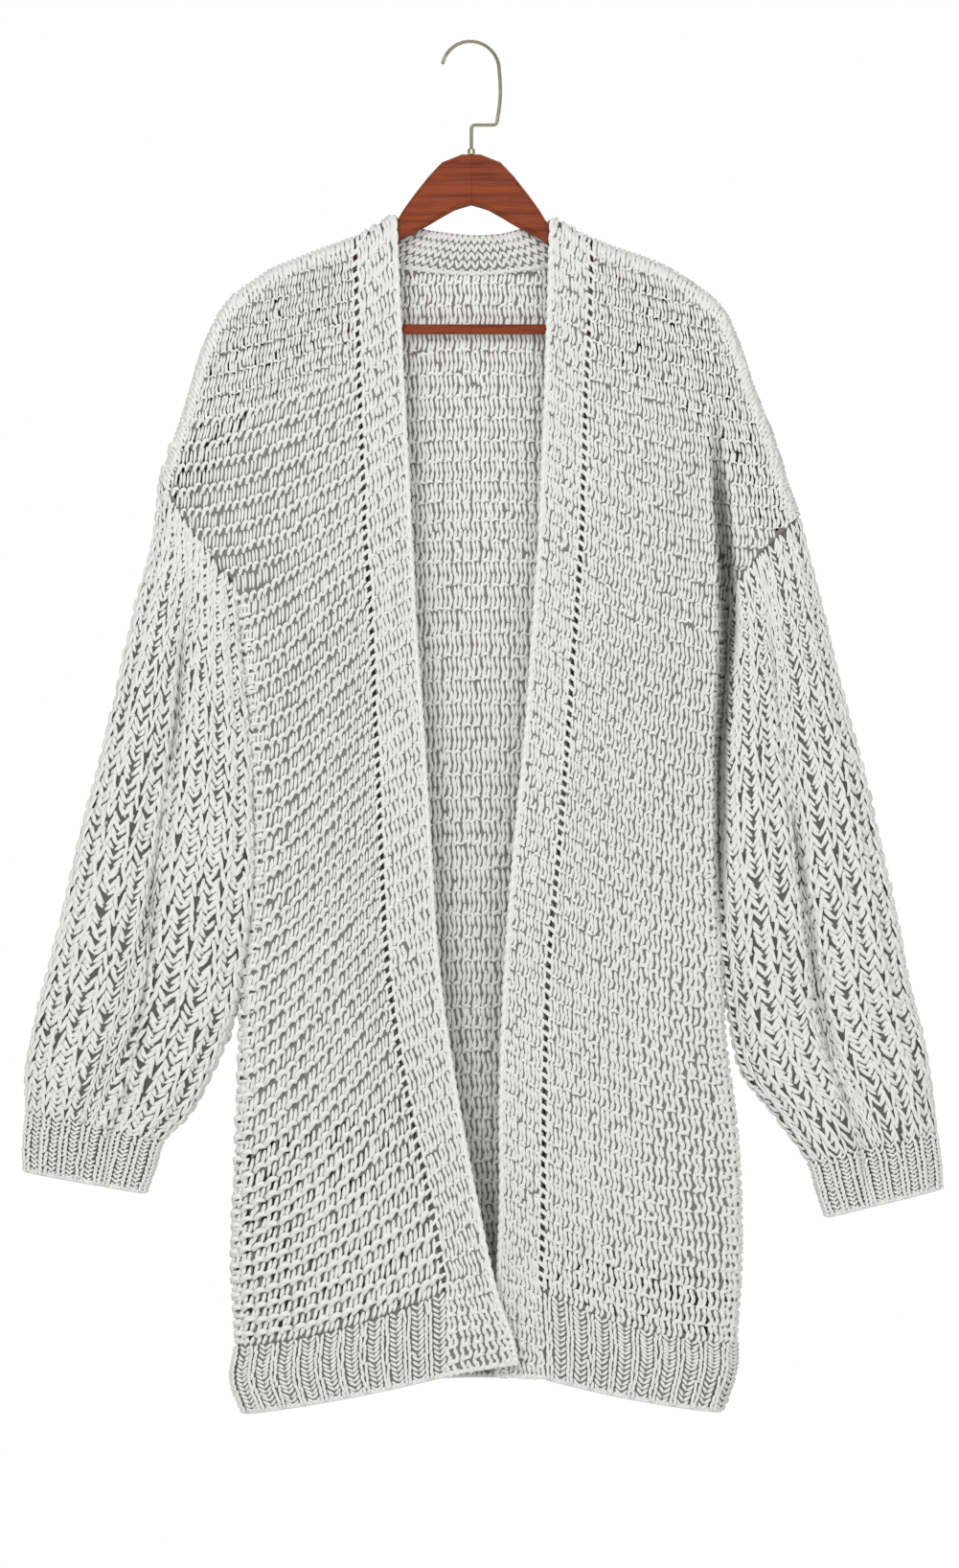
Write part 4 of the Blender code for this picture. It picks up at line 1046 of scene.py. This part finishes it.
seamKnit = {
    "shoulderPitch": 3.9 * mm,
    "sidePitch": 6.5 * mm,
    "firstShoulder": 1.5 * mm,
    "firstSide": 3 * mm,
    "shoulderSpan": 0.12,  # rows on either side of the seam that a strand may reach
    "sideSpan": 0.2,
    "uneven": 0.05,
    "reach": np.array([0.0, 5.0, 10.0, 15.0]) * mm,  # how far each strand runs from the seam
    "height": np.array([1.9, 1.9, 1.5, 0.4]) * mm,
    "halfWidth": 1.85 * mm,
    "halfHeight": 1.5 * mm,
}


def bridgeSeam(onFront, onBack, stations, span):
    # Strands that run over a seam, from the front to the back.
    fine = np.linspace(0, span, 25)
    sides = []
    for place in (onFront, onBack):
        line, _ = place(stations[:, None], fine[None, :], 0.0)
        away = np.stack([np.interp(seamKnit["reach"], lengthsOf(one), fine) for one in line])
        sides.append(place(stations[:, None], away, seamKnit["height"][None, :]))
    centres, normals = (
        np.concatenate([front[:, ::-1], back[:, 1:]], axis=1) for front, back in zip(*sides)
    )
    size = rng.normal(1.0, seamKnit["uneven"], (len(stations), 1))
    return sweepStrands(centres, normals, seamKnit["halfWidth"] * size, seamKnit["halfHeight"] * size)


def makeSeams(side):
    # The shoulder's seam, and the body's side below the arm.
    front, back = cloths[f"front_{side}"], cloths["back"]
    outer, inward = (0.0, 1.0) if side == "right" else (1.0, -1.0)
    lengths = front.lengthAlong(0.0)
    places = np.arange(seamKnit["firstShoulder"], lengths[-1], seamKnit["shoulderPitch"])
    shoulder = np.interp(places, lengths, front.columns)
    rows = np.linspace(underarm, 0.995, 200)
    lengths = lengthsOf(front.place(np.full(200, 1.0), rows)[0])
    places = np.arange(seamKnit["firstSide"], lengths[-1], seamKnit["sidePitch"])
    below = np.interp(places, lengths, rows)
    return [
        bridgeSeam(
            lambda u, t, lift: front.place(u, t, lift),
            lambda u, t, lift: back.place(outer + inward * backShoulder * (1 - u), t, lift),
            shoulder, seamKnit["shoulderSpan"],
        ),
        bridgeSeam(
            lambda u, t, lift: front.place(1 - t, u, lift),
            lambda u, t, lift: back.place(outer + inward * backShoulder * t, u, lift),
            below, seamKnit["sideSpan"],
        ),
    ]


def makeFront(side):
    cloth = cloths[f"front_{side}"]
    rowOf = ridgeRows(frontKnit["repeat"][side], frontKnit["ridges"])
    firstAcross = eyeletShare(cloth)
    findRow = evenRows(cloth)
    findAcross = evenAcross(cloth)
    mirror = side == "right"
    # Above the underarm a wale is found by how far out it lies.
    byX, edgeX = findByX(cloth, facing=-1 if mirror else 1)

    def toCloth(a, b):
        start = rowOf(b)
        count = readPairs(start, frontKnit["wales"])
        first = firstAcross(start)
        wider = readPairs(start, frontKnit["spread"])
        share = np.clip(a / count, -0.1, 1.1)
        share = first + (1 - first) * share * (1 - wider + wider * share)
        # A stitch keeps its own lie, so the slanting ridges rise in steps.
        steps = np.clip((np.floor(a.mean(axis=1, keepdims=True)) + 0.5) / count, 0, 1)
        steps = steps * (1 - wider + wider * steps)
        fall = readPairs(start, frontKnit["slant"][side]) * (steps + step(0, 1, steps) - 1) / 2
        low = edgeX(start, 0)
        out = low + (a / count * (1 - first) + first) * (edgeX(start, -1) - low)
        level = 1 - step(underarm - 0.04, underarm + 0.01, start)

        def findColumn(row):
            return level * byX(row, out) + (1 - level) * findAcross(row, share)

        row = start
        for again in range(settleTurns):
            row = (row + findRow(start, findColumn(row)) + fall) / 2
        centre = b.shape[1] // 2
        inside = np.where(level > 0.5, out < edgeX(row, -1), share < 1.0)[:, centre]
        inside &= row[:, 1] > -0.004
        inside &= (b[:, centre] > -0.2) & (b[:, centre] < frontKnit["ridges"])
        return np.maximum(findColumn(row), first), row, inside

    wales, ridges = everyStitch(frontKnit["mostWales"], frontKnit["ridges"])
    strokes = mirrored(ridgedStrokes if mirror else plainStrokes, mirror)
    lower = rowOf(ridges) > frontKnit["plainAbove"]
    stitches = makeStitches(f"front_{side}_stitches", strandLook, [
        knitStrands(cloth, toCloth, wales[lower], ridges[lower], strokes, frontKnit),
        knitStrands(cloth, toCloth, wales[~lower], ridges[~lower], plainStrokes, frontKnit),
        makeEyeletBars(side),
        *makeSeams(side),
    ])
    down, over = frontKnit["groundGrid"]
    rows = np.linspace(0, 1, down)
    first = firstAcross(rows)[:, None]
    columns = first + (1 - first) * np.linspace(0, 1, over)
    holes = meshHoles(rows, over, side)
    half = frontKnit["groundHalf"]
    shell = makeShell(f"front_{side}_cloth", cloth, columns, rows, half, shadedGroundLook, holes)
    return shell, stitches


def meshHoles(rows, columns, side):
    # The stretched shoulder and the lowest part are open between their stitches.
    down, over = np.meshgrid(np.arange(len(rows) - 1), np.arange(columns - 1), indexing="ij")
    above, below = frontKnit["open"][side]
    inside = (rows[down] > 0.016) & (down < len(rows) - 2) & (over > 0) & (over < columns - 2)
    return ((rows[down] < above) | (rows[down] > below)) & inside & (down % 4 > 0) & (over % 3 > 0)


eyelets = {
    "count": 100,
    "barHalfWidth": 1.45 * mm,
    "barHalfHeight": 1.3 * mm,
    "firstRow": 0.012,
    "lastRow": 0.992,
    "gap": 1.3 * mm,
}


def makeEyeletBars(side):
    # Short bars from front to band, which leave the line of eyelets open between them.
    front = cloths[f"front_{side}"]
    band = cloths[f"band_{side}"]
    row = np.linspace(eyelets["firstRow"], eyelets["lastRow"], eyelets["count"] + 1)[:, None]
    share = eyeletShare(front)(row)
    across = share * np.array([[2.6, 1.2, 0.0]])
    lift = np.array([[0.8, 1.0, 1.1]]) * mm
    outer, normals = front.place(across, row + np.array([[0.0022, 0.001, 0.0]]), lift)
    across = np.array([[0.04, 0.09]])
    lift = np.array([[1.0, 0.8]]) * mm
    inner, _ = band.place(across, row - np.array([[0.001, 0.0022]]), lift)
    centres = np.concatenate([outer, inner], axis=1)
    normals = np.concatenate([normals, normals[:, :2]], axis=1)
    half = (eyelets["barHalfWidth"], eyelets["barHalfHeight"])
    return sweepStrands(centres, normals, *half, profile=5, whole=True)


# The front bands: plain knit across, with a chain along the free edge.
bandKnit = {
    "wales": 5,
    "rows": 56,
    "loops": 112,
    "slant": 0.015,
    "wale": 7.0 * mm,
    "uneven": 0.05,
    "profile": 4,
    "groundHalf": 1.1 * mm,
    "edgeHalfWidth": 2.1 * mm,
    "edgeHalfHeight": 1.5 * mm,
    "endHalf": 1.9 * mm,
    "groundGrid": (160, 12),
}


def makeBand(side):
    cloth = cloths[f"band_{side}"]
    wide = bandKnit["wales"]

    def firstAcross(row):  # the line of eyelets ends where the ribbing starts
        return np.interp(row, [0.0, 0.985, 1.0], [0.05, 0.05, 0.0])

    def toCloth(a, b):
        row = b * (hemEnd / bandKnit["rows"]) - bandKnit["slant"] * (a / wide - 0.5)
        across = firstAcross(row) + a / wide * (0.95 - firstAcross(row))
        inside = (row[:, 1] > -0.002) & (row[:, 1] < hemEnd)
        return np.clip(across, 0, 1), row, inside

    wales, ridges = everyStitch(wide, bandKnit["rows"] + 1, firstRow=-1)
    strokes = mirrored(plainStrokes, side == "left")
    face = knitStrands(cloth, toCloth, wales, ridges, strokes, bandKnit)
    # The free edge is a chain of loops that turns from the front to the back of the band.
    count = bandKnit["loops"]
    start = (np.arange(count) * (hemEnd / count))[:, None]
    line = np.array([[-0.15, 0.2, 0.55, 0.9, 1.2]]) * (hemEnd / count)
    across = np.array([[0.95, 0.975, 0.99, 0.975, 0.95]])
    lift = np.array([[0.6, 1.0, 0.9, 0.5, -0.1]]) * mm
    half = (bandKnit["edgeHalfWidth"], bandKnit["edgeHalfHeight"])
    edge = sweepStrands(*cloth.place(across, start + line, lift), *half, profile=5, whole=True)
    end = np.linspace(0, 0.96, 10)
    end = edgeCord(cloth, end, np.full(10, hemEnd - 0.002), bandKnit["endHalf"])
    stitches = makeStitches(f"band_{side}_stitches", strandLook, [face, edge, end])
    down, over = bandKnit["groundGrid"]
    rows = np.linspace(0, hemEnd, down)
    first = firstAcross(rows)[:, None]
    columns = first + (0.98 - first) * np.linspace(0, 1, over)
    shell = makeShell(f"band_{side}_cloth", cloth, columns, rows, bandKnit["groundHalf"], shadedGroundLook)
    return shell, stitches


# The hem's ribbing, on the fronts and the back.
hemKnit = {
    "ribPitch": 16.5 * mm,
    "middle": 1.05,  # the row where ribs are counted
    "height": 0.1,
    "rows": 12,
    "valleyRows": 15,
    "edgeHalf": 2.1 * mm,
    "uneven": 0.02,
    "profile": 4,
    "backProfile": 3,
    "groundHalf": 1.0 * mm,
}
# First a rib's raised pair of lines, then the chevrons in the valley beside it.
hemStrokes = pairUp([
    ([(0.66, -0.15, 2.4), (0.68, 0.30, 3.4), (0.70, 0.70, 3.4), (0.73, 1.15, 2.4)], 1.35, 1.3),
], 0.785)
hemChevrons = [
    ([(0.00, -0.20, 0.8), (0.07, 0.20, 2.0), (0.17, 0.60, 1.9), (0.27, 0.95, 0.2)], 1.3, 1.15),
    ([(0.56, -0.20, 0.8), (0.48, 0.20, 2.0), (0.38, 0.60, 1.9), (0.28, 0.95, 0.2)], 1.3, 1.15),
]


def ribColumns(cloth, row, count):
    # Turns a number of ribs into the cloth's own across, evenly along one row.
    lengths = cloth.lengthAlong(row)
    return lambda a: np.interp(a / count, lengths / lengths[-1], cloth.columns)


def edgeCord(cloth, across, row, half):
    # A thick round cord of short strands laid along a free edge.
    start = np.arange(len(across) - 1)[:, None]
    line = start + np.array([[-0.2, 0.3, 0.7, 1.2]])
    at = np.clip(line, 0, len(across) - 1)
    index = np.arange(len(across))
    lift = np.array([[0.1, 0.5, 0.5, 0.1]]) * mm
    centres, normals = cloth.place(np.interp(at, index, across), np.interp(at, index, row), lift)
    return sweepStrands(centres, normals, half, half * 0.9, profile=5, taper=0.8, whole=True)


def makeHem(name, cloth, mirror):
    count = round(cloth.lengthAlong(hemKnit["middle"])[-1] / hemKnit["ribPitch"])
    columnOf = ribColumns(cloth, hemKnit["middle"], count)
    spec, facings = hemKnit, (1.0,)
    if name == "hem_rib_back":  # it shows inside too
        spec, facings = {**hemKnit, "profile": hemKnit["backProfile"]}, (1.0, -1.0)
    parts = []
    for strokes, number in ((hemStrokes, hemKnit["rows"]), (hemChevrons, hemKnit["valleyRows"])):
        def toCloth(a, b):
            row = 1 + b * (hemKnit["height"] / number)
            return columnOf(np.clip(a, 0, count)), np.clip(row, 1, hemEnd), np.ones(len(a), bool)

        wales, rows = everyStitch(count, number)
        strokes = mirrored(strokes, mirror)
        for facing in facings:
            parts.append(knitStrands(cloth, toCloth, wales, rows, strokes, spec, side=facing))
    edge = columnOf(np.linspace(0, count, count * 6 + 1))
    parts.append(edgeCord(cloth, edge, np.full(len(edge), hemEnd - 0.001), hemKnit["edgeHalf"]))
    stitches = makeStitches(f"{name}_stitches", strandLook, parts)
    columns = columnOf(np.linspace(0, count, count * 4 + 1))
    rows = np.linspace(1, hemEnd, 12)
    shell = makeShell(f"{name}_cloth", cloth, columns, rows, hemKnit["groundHalf"], shadedGroundLook)
    return shell, stitches


# The back, knitted outside and, as far as it shows, inside.
backKnit = {
    "pitch": ((0.0, 6.6), (0.35, 7.2), (0.75, 7.6), (1.1, 8.4)),  # row, width of a wale in mm
    "repeat": ((0.0, 19), (0.2, 21), (0.5, 24), (0.8, 22), (1.0, 18)),
    "ridges": 48,
    "ends": (-0.26, 0.27),  # how far the wales are looked for, in metres
    "outsideReach": 38,  # wales to either side of the middle
    "insideReach": 17,
    "wale": 7.2 * mm,
    "uneven": 0.045,
    "profile": 4,
    "outerProfile": 3,
    "groundHalf": 1.0 * mm,
    "groundGrid": (80, 90),
}


def makeBack():
    cloth = cloths["back"]
    rowOf = ridgeRows(backKnit["repeat"], backKnit["ridges"])
    byX, edgeX = findByX(cloth, backKnit["ends"])
    findRow = evenRows(cloth)

    def toCloth(a, b):
        start = rowOf(b)
        x = a * readPairs(start, backKnit["pitch"]) * mm
        row = start
        for again in range(settleTurns):
            row = (row + findRow(start, byX(row, x))) / 2
        centre = b.shape[1] // 2
        middle, at, ridge = x[:, centre], row[:, 1], b[:, centre]
        inside = (middle > edgeX(at, 0)) & (middle < edgeX(at, -1)) & (at > -0.004)
        return byX(row, x), row, inside & (ridge > -0.2) & (ridge < backKnit["ridges"])

    reach, count = backKnit["outsideReach"], backKnit["ridges"]
    wales, ridges = everyStitch(reach + 1, count, firstWale=-reach)
    spec = {**backKnit, "profile": backKnit["outerProfile"]}
    knitted = knitStrands(cloth, toCloth, wales, ridges, plainStrokes, spec)
    outer = makeStitches("back_stitches", strandLook, [knitted])
    reach = backKnit["insideReach"]
    wales, ridges = everyStitch(reach + 1, count, firstWale=-reach, firstRow=-1)
    knitted = knitStrands(cloth, toCloth, wales, ridges + 0.5, plainStrokes, backKnit, side=-1.0)
    # The inside stitches take the lighter yarn: painted light on the back's shaded inside.
    inner = makeStitches("back_inside_stitches", paintedLightInsideLook, [knitted])
    rows, columns = (np.linspace(0, 1, number) for number in backKnit["groundGrid"])
    shell = makeShell("back_cloth", cloth, columns, rows, backKnit["groundHalf"], shadedGroundLook)
    return shell, outer, inner


# The neck band, knitted on both faces.
neckKnit = {
    "columns": 28,
    "rows": 5,
    "uneven": 0.03,
    "profile": 4,
    "seamHalf": (1.5 * mm, 1.2 * mm),
    "topHalf": (1.7 * mm, 1.6 * mm),
    "groundHalf": 1.0 * mm,
    "groundGrid": (8, 60),
}
neckStrokes = pairUp([
    ([(0.10, 0.05, 0.8), (0.20, 0.35, 1.7), (0.32, 0.65, 1.7), (0.46, 1.0, 0.8)], 1.3, 1.1),
])


def makeNeck():
    cloth = cloths["neck"]
    count = neckKnit["columns"]

    def toCloth(a, b):
        return a / count, 1 - b / neckKnit["rows"], np.ones(len(a), bool)

    wales, rows = everyStitch(count, neckKnit["rows"])
    parts = []
    for side in (1.0, -1.0):
        parts.append(knitStrands(cloth, toCloth, wales, rows, neckStrokes, neckKnit, side=side))
    start = np.arange(count * 1.0)[:, None]
    # A raised chain along the seam, on both faces.
    along = (start + np.array([[-0.15, 0.2, 0.5, 0.8, 1.15]])) / count
    up = np.array([[0.05, 0.09, 0.1, 0.09, 0.04]])
    lift = np.array([[1.2, 2.4, 2.8, 2.4, 1.2]])
    for side in (1.0, -1.0):
        centres, normals = cloth.place(along, up, side * lift * mm)
        parts.append(sweepStrands(centres, side * normals, *neckKnit["seamHalf"]))
    # The top edge is a round rolled chain.
    along = (start + np.array([[-0.1, 0.25, 0.6, 1.1]])) / count
    lift = np.array([[0.5, 0.8, 0.4, -0.4]]) * mm
    placed = cloth.place(along, np.full((1, 4), 0.97), lift)
    parts.append(sweepStrands(*placed, *neckKnit["topHalf"], profile=5, whole=True))
    stitches = makeStitches("neck_band_stitches", strandLook, parts)
    rows, columns = (np.linspace(0, 1, number) for number in neckKnit["groundGrid"])
    shell = makeShell("neck_band_cloth", cloth, columns, rows, neckKnit["groundHalf"], shadedGroundLook)
    return shell, stitches


# The sleeves' thick columns and the cuffs' fine ribs run all round.
sleeveKnit = {
    "ribs": 18,
    "rows": 44,
    "wale": 16.0 * mm,
    "uneven": 0.05,
    "profile": 4,
    "groundHalf": 1.0 * mm,
}
# The raised chain runs at the middle of a rib, the crossing strands lie in the valleys.
sleeveStrokes = pairUp([
    ([(0.35, -0.18, 1.2), (0.36, 0.22, 3.3), (0.41, 0.62, 3.6), (0.49, 1.06, 1.6)], 1.6, 1.5),
    ([(0.32, -0.02, 0.6), (0.22, 0.26, 2.2), (0.10, 0.58, 2.1), (-0.03, 0.80, 0.2)], 1.8, 1.45),
    ([(0.36, 0.48, 0.4), (0.27, 0.74, 1.8), (0.15, 1.00, 1.7), (0.03, 1.18, 0.1)], 1.65, 1.3),
])
cuffKnit = {
    "ribs": 16,
    "rows": 13,
    "uneven": 0.02,
    "profile": 4,
    "groundHalf": 1.0 * mm,
    "edgeHalf": 1.9 * mm,
}
cuffStrokes = pairUp([
    ([(0.32, -0.20, 1.8), (0.34, 0.30, 3.0), (0.39, 0.70, 3.0), (0.46, 1.20, 1.8)], 1.35, 1.2),
], 0.51) + [
    ([(0.24, -0.2, 0.6), (0.12, 0.15, 1.5), (0.0, 0.45, 1.4), (-0.12, 0.80, 0.6)], 1.1, 0.95),
    ([(-0.24, -0.1, 0.6), (-0.16, 0.20, 1.3), (-0.05, 0.50, 1.3), (0.10, 0.95, 0.6)], 1.0, 0.9),
]


def makeSleeve(side):
    cloth = cloths[f"sleeve_{side}"]
    made = []
    for name, spec, strokes, middle, first, last in (
        ("sleeve", sleeveKnit, sleeveStrokes, 0.5, 0.0, 1.0),
        ("cuff", cuffKnit, cuffStrokes, 1.06, 1.0, cuffEnd),
    ):
        ribs = spec["ribs"]
        columnOf = ribColumns(cloth, middle, ribs)

        def toCloth(a, b):
            turns = np.floor(a / ribs)
            across = columnOf(a - turns * ribs) + 2 * turns
            row = first + b / spec["rows"] * (last - first)
            return across, np.clip(row, first, last), np.ones(len(a), bool)

        parts = [knitStrands(cloth, toCloth, *everyStitch(ribs, spec["rows"]), strokes, spec)]
        if name == "cuff":
            edge = columnOf(np.linspace(0, ribs, ribs * 4 + 1))
            parts.append(edgeCord(cloth, edge, np.full(len(edge), cuffEnd - 0.002), spec["edgeHalf"]))
        stitches = makeStitches(f"{name}_{side}_stitches", strandLook, parts)
        columns = columnOf(np.linspace(0, ribs, ribs * 3 + 1))
        rings = np.linspace(first, last, max(10, spec["rows"] * 2))
        half = spec["groundHalf"]
        # The sleeves and cuffs lie on the deep grey ground: painted shade in their deep gaps.
        shell = makeShell(f"{name}_{side}_cloth", cloth, columns, rings, half, deepShadedGroundLook)
        made.append((shell, stitches))
    return made


def declare(shell, node, flat, *stitches, area=None):
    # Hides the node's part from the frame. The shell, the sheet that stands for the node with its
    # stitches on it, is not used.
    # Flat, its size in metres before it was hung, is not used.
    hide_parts(node)


for side in ("right", "left"):
    shell, stitches = makeFront(side)
    declare(shell, f"front_{side}", (0.18, 0.80), stitches, area=0.10)
    shell, stitches = makeBand(side)
    declare(shell, f"band_{side}", (0.038, 0.87), stitches)
    print(f"{side} front and band knitted")
    shell, stitches = makeHem(f"hem_rib_{side}", cloths[f"front_{side}"], side == "left")
    declare(shell, f"hem_rib_{side}", (0.16, 0.06), stitches)
    sleeve, cuff = makeSleeve(side)
    declare(sleeve[0], f"sleeve_{side}", (0.30, 0.45), sleeve[1])
    declare(cuff[0], f"cuff_{side}", (0.19, 0.05), cuff[1])
    print(f"{side} hem, sleeve and cuff knitted")
shell, outer, inner = makeBack()
declare(shell, "back", (0.48, 0.80), outer, inner, area=0.31)
shell, stitches = makeHem("hem_rib_back", cloths["back"], False)
declare(shell, "hem_rib_back", (0.38, 0.06), stitches)
shell, stitches = makeNeck()
declare(shell, "neck_band", (0.20, 0.033), stitches)
print("back and neck knitted")

# Floor, light and camera.
studio = {
    "floorHeight": -1.5,
    "floorRadius": 2.6,
    "floorThickness": 0.03,
    "lights": (  # name, place, watts and metres across
        ("key", (-1.1, -2.6, 0.8), 33.0, 1.2),
        ("fill", (1.0, -2.8, -0.2), 19.0, 2.0),
        ("rear", (0.4, 2.4, 0.8), 22.0, 2.0),
    ),
    "lightsAim": (0.0, 0.0, -0.5),
    "ambient": 0.50,
    "cameraDistance": 6.0,
    "frameHeight": 1.178,
    "frameCentre": (0.0061, -0.5566),
}


def makeFloor():
    turn = np.linspace(0, 2 * math.pi, 97)[:-1]
    rings = []
    radius = studio["floorRadius"]
    for drop in (0.0, studio["floorThickness"]):
        z = np.full(len(turn), studio["floorHeight"] - drop)
        rings.append(np.stack([radius * np.cos(turn), radius * np.sin(turn), z], axis=-1))
    data = bpy.data.meshes.new("floor")
    count = len(turn)
    sides = [(i, i + count, (i + 1) % count + count, (i + 1) % count) for i in range(count)]
    top, bottom = tuple(range(count)), tuple(range(2 * count - 1, count - 1, -1))
    data.from_pydata(np.concatenate(rings).tolist(), [], [top, bottom] + sides)
    look, tree, shader = newLook("paleFloor", (0.8, 0.8, 0.8), 0.7)
    tone = placeGroup(tree, toneAndShadeGroup, {"Slow": 0.02, "Quick": 0.02})
    tintByTone(tree, shader, tone.outputs[0], (0.8, 0.8, 0.8))
    data.materials.append(look)
    floor = bpy.data.objects.new("floor", data)
    bpy.context.collection.objects.link(floor)


def addLight(name, place, power, size):
    data = bpy.data.lights.new(name, "AREA")
    data.energy = power
    data.shape = "DISK"
    data.size = size
    lamp = bpy.data.objects.new(name, data)
    bpy.context.collection.objects.link(lamp)
    lamp.location = place
    way = mathutils.Vector(studio["lightsAim"]) - mathutils.Vector(place)
    lamp.rotation_euler = way.to_track_quat("-Z", "Y").to_euler()


def makeWorld():
    # White behind the object for the camera, softer light for everything else.
    world = bpy.data.worlds.new("studio")
    world.use_nodes = True
    tree = world.node_tree
    tree.nodes.clear()
    white = (1, 1, 1, 1)
    soft = addNode(tree, "Background", {"Color": white, "Strength": studio["ambient"]})
    bright = addNode(tree, "Background", {"Color": white, "Strength": 1.0})
    seen = addNode(tree, "LightPath", {}).outputs["Is Camera Ray"]
    inputs = {"Fac": seen, 1: soft.outputs[0], 2: bright.outputs[0]}
    mix = addNode(tree, "MixShader", inputs)
    addNode(tree, "OutputWorld", {"Surface": mix.outputs[0]})
    bpy.context.scene.world = world


def makeCamera():
    data = bpy.data.cameras.new("camera")
    data.sensor_fit = "VERTICAL"
    data.sensor_height = 24.0
    data.lens = data.sensor_height * studio["cameraDistance"] / studio["frameHeight"]
    data.clip_end = 50.0
    camera = bpy.data.objects.new("camera", data)
    bpy.context.collection.objects.link(camera)
    x, z = studio["frameCentre"]
    camera.location = (x, -studio["cameraDistance"], z)
    camera.rotation_euler = (math.pi / 2, 0, 0)
    bpy.context.scene.camera = camera


makeFloor()
makeWorld()
for light in studio["lights"]:
    addLight(*light)
makeCamera()
view = bpy.context.scene.view_settings
view.view_transform = "Standard"
view.look = "None"
view.exposure = 0.0
print("floor, light and camera made")

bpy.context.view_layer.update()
meshes = [item.data for item in bpy.data.objects if item.type == "MESH"]
print("triangles", sum(len(face.vertices) - 2 for mesh in meshes for face in mesh.polygons))
